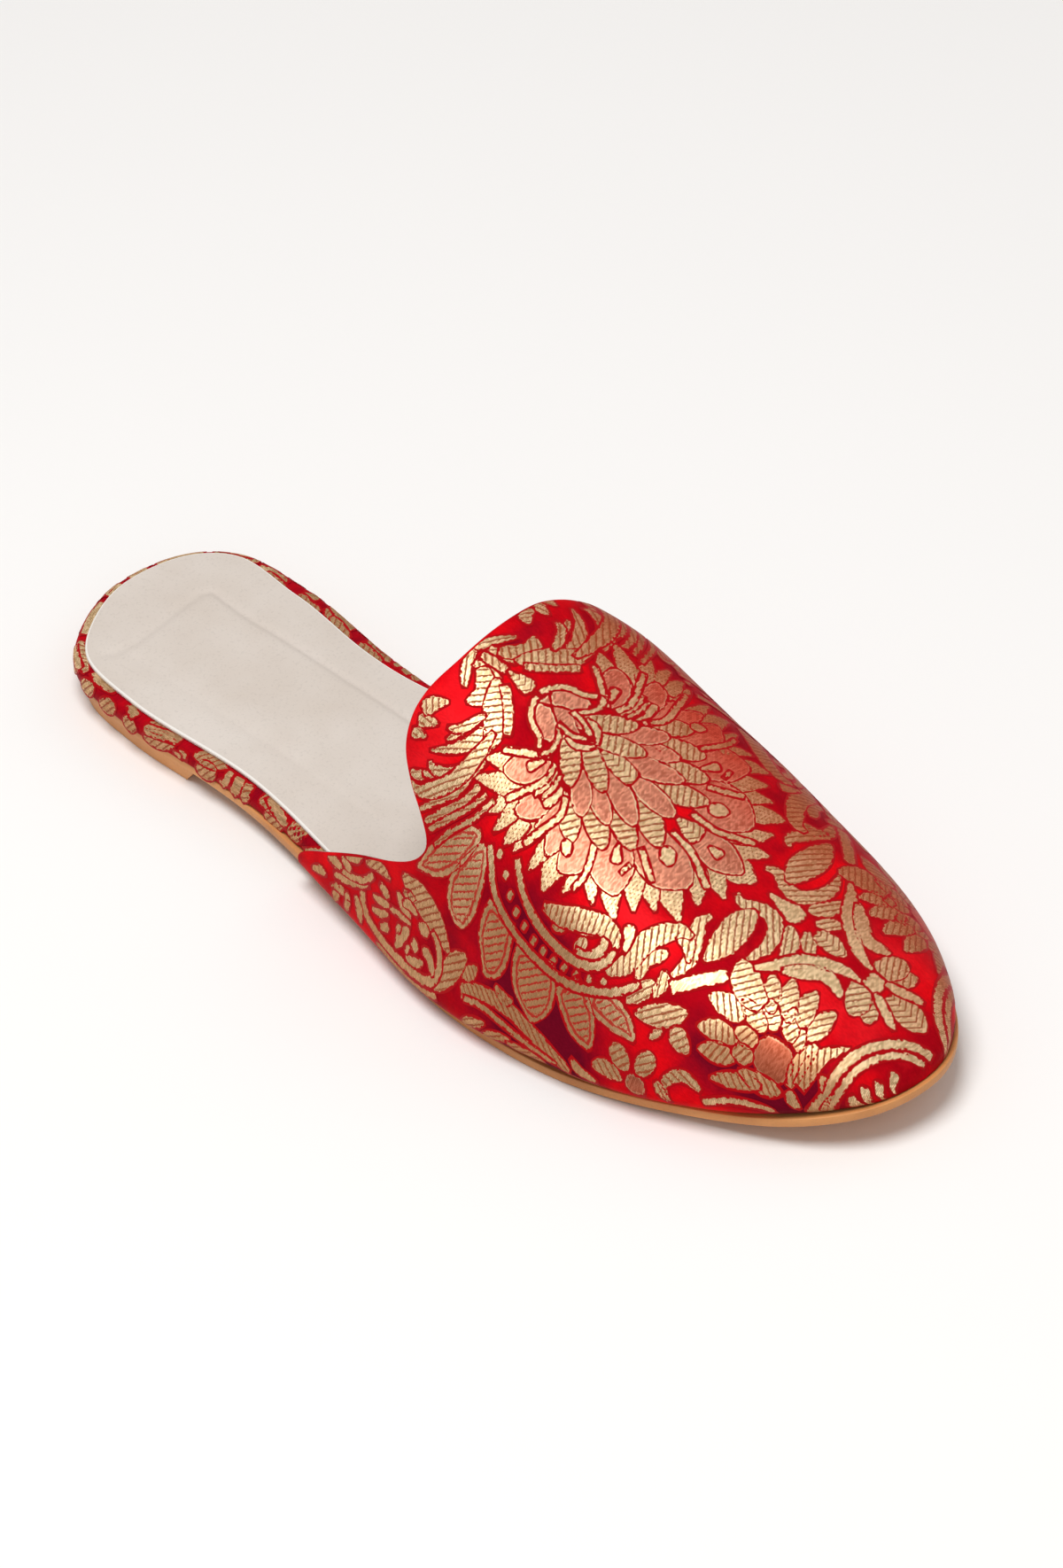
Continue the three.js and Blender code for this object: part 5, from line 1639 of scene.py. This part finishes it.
class MULE_OT_upper(bpy.types.Operator):
    """Red satin upper and its cream lining, each a thin closed sheet with a rounded edge at the collar"""

    bl_idname = "mule.upper"
    bl_label = "Upper and lining"

    def execute(self, context):
        outer, inner = upper_face(0.0), upper_face(WALL)
        station, girth = upper_grid(outer)
        front = outer.at(station, girth)
        behind = inner.at(*upper_grid(inner))
        middle = 0.5 * (front + behind)
        make_satin(outer, station, girth, front, middle)
        make_lining(middle, behind)
        return {"FINISHED"}


class MULE_OT_figures(bpy.types.Operator):
    """Gold and copper figures woven into the upper's cloth and into the cloth round the footbed"""

    bl_idname = "mule.figures"
    bl_label = "Woven figures"

    def execute(self, context):
        face, plan = upper_face(0.0), Plan(footbed_inset)
        grounds = {
            "cloth": tuple((half, cloth_half(face, half)) for half in (1, -1)),
            "edge": tuple((half, edge_side(plan, half)) for half in (1, -1)),
        }
        for layer in LAYERS:
            ground = layer.ground.removeprefix("far_")
            sides = grounds[ground] if ground == layer.ground else grounds[ground][1:]
            points, faces, values = woven_figures(layer.motifs, sides, size_mm("relief") + layer.lift,
                                                  chevrons=layer.finish == "gold_chevrons")
            make_mesh(layer.name, points, faces, material(layer.finish), values=values)
        return {"FINISHED"}


# The photograph's viewpoint: degrees round from the toe to the outer side, degrees up, roll, and metres away
VIEW_ROUND, VIEW_UP, VIEW_ROLL, VIEW_FAR = 44.54, 41.34, -1.71, 1.648
VIEW_TARGET = Vector((WIDTH_MIDDLE / 1000, 0.0, 0.02))
# Size of the photograph and what the fit gave in its pixels: focal length, and where the target falls
PHOTO_WIDTH, PHOTO_HEIGHT = 1200, 1770
FOCAL_PIXELS, TARGET_X, TARGET_Y = 8398.0, 569.2, 898.0
SENSOR_MM = 36


def photo_camera():
    """Camera at the photograph's viewpoint, its frame shifted so that the shoe falls in the same place."""
    a, e, r = np.radians([VIEW_ROUND, VIEW_UP, VIEW_ROLL])
    away = Vector((-np.sin(a) * np.cos(e), -np.cos(a) * np.cos(e), np.sin(e)))
    right = (-away).cross(Vector((0, 0, 1))).normalized()
    up = right.cross(-away)
    axes = Matrix((right * np.cos(r) + up * np.sin(r), up * np.cos(r) - right * np.sin(r), away))
    data = bpy.data.cameras.new("photo_camera")
    data.sensor_width = SENSOR_MM
    data.lens = FOCAL_PIXELS / PHOTO_HEIGHT * SENSOR_MM
    data.shift_x = (PHOTO_WIDTH / 2 - TARGET_X) / PHOTO_HEIGHT
    data.shift_y = (TARGET_Y - PHOTO_HEIGHT / 2) / PHOTO_HEIGHT
    data.clip_start, data.clip_end = 0.05, 50
    camera = bpy.data.objects.new("photo_camera", data)
    bpy.context.scene.collection.objects.link(camera)
    camera.matrix_world = Matrix.Translation(VIEW_TARGET + away * VIEW_FAR) @ axes.transposed().to_4x4()
    bpy.context.scene.camera = camera


# Soft lamps: name, where it stands, width in metres, watts. All of them point at a place over the floor.
Lamp = namedtuple("Lamp", "name place size power")
LAMPS = (
    Lamp("key", (-0.38, -0.06, 1.4), 0.75, 15.8),
    Lamp("front_fill", (-0.8, -1.0, 0.9), 1.2, 1.4),
    Lamp("side_fill", (1.1, -0.3, 0.8), 1.0, 1.2),
)
LAMP_TARGET = Vector((0, 0, 0.03))
SKY_COLOUR, SKY_STRENGTH = (1, 0.99, 0.98, 1), 0.38
FLOOR_HALF = 4.0


def make_floor():
    """A square floor of pale paper, whose tone wanders by 1.5 per cent."""
    mesh = bpy.data.meshes.new("floor")
    corners = [(x * FLOOR_HALF, y * FLOOR_HALF, 0) for x, y in ((-1, -1), (1, -1), (1, 1), (-1, 1))]
    mesh.from_pydata(corners, [], [(0, 1, 2, 3)])
    floor = bpy.data.objects.new("floor", mesh)
    bpy.context.scene.collection.objects.link(floor)
    finish, nodes, shader = new_material("floor_paper", Roughness=0.9, Specular_IOR_Level=0.1)
    tint = bpy.context.scene.mule_dyes.floor
    dimmer = [0.985 * value for value in tint]
    nodes.put(shader["Base Color"], nodes.mix(nodes.noise(nodes.place(), 6, 2), tint, dimmer))
    mesh.materials.append(finish)


def make_lamps():
    """Round soft lamps, and an even pale sky."""
    for lamp in LAMPS:
        data = bpy.data.lights.new(lamp.name, "AREA")
        data.shape = "DISK"
        data.size = lamp.size
        data.energy = lamp.power
        item = bpy.data.objects.new(lamp.name, data)
        item.location = lamp.place
        item.rotation_euler = (LAMP_TARGET - Vector(lamp.place)).to_track_quat("-Z", "Y").to_euler()
        bpy.context.scene.collection.objects.link(item)
    world = bpy.data.worlds.new("studio")
    world.use_nodes = True
    background = world.node_tree.nodes["Background"]
    background.inputs["Color"].default_value = SKY_COLOUR
    background.inputs["Strength"].default_value = SKY_STRENGTH
    bpy.context.scene.world = world


class MULE_OT_stage(bpy.types.Operator):
    """Pale floor, soft lamps and the camera at the photograph's viewpoint"""

    bl_idname = "mule.stage"
    bl_label = "Floor, lamps and camera"

    def execute(self, context):
        make_floor()
        make_lamps()
        context.scene.view_settings.view_transform = "Standard"
        photo_camera()
        return {"FINISHED"}


STEPS = ("stage", "sole", "heel", "footbed", "insole", "upper", "figures")


class MULE_PT_panel(bpy.types.Panel):
    """Lists the steps that build the mule, and its sizes and colours"""

    bl_idname = "MULE_PT_panel"
    bl_label = "Brocade mule"
    bl_space_type = "VIEW_3D"
    bl_region_type = "UI"
    bl_category = "Mule"

    def draw(self, context):
        for step in STEPS:
            self.layout.operator("mule." + step)
        for settings in (context.scene.mule_sizes, context.scene.mule_dyes):
            for name in settings.__annotations__:
                self.layout.prop(settings, name)


CLASSES = (MuleDyes, MuleSizes, MULE_OT_stage, MULE_OT_sole, MULE_OT_heel, MULE_OT_footbed, MULE_OT_insole,
           MULE_OT_upper, MULE_OT_figures, MULE_PT_panel)


def register():
    """Makes the classes known, and gives the scene the user's colours and sizes."""
    for item in CLASSES:
        bpy.utils.register_class(item)
    bpy.types.Scene.mule_dyes = bpy.props.PointerProperty(type=MuleDyes)
    bpy.types.Scene.mule_sizes = bpy.props.PointerProperty(type=MuleSizes)


def unregister():
    """Takes away what register gave."""
    del bpy.types.Scene.mule_sizes
    del bpy.types.Scene.mule_dyes
    for item in reversed(CLASSES):
        bpy.utils.unregister_class(item)


def main():
    """Registers the classes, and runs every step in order."""
    register()
    for step in STEPS:
        getattr(bpy.ops.mule, step)()


if __name__ == "__main__":
    main()
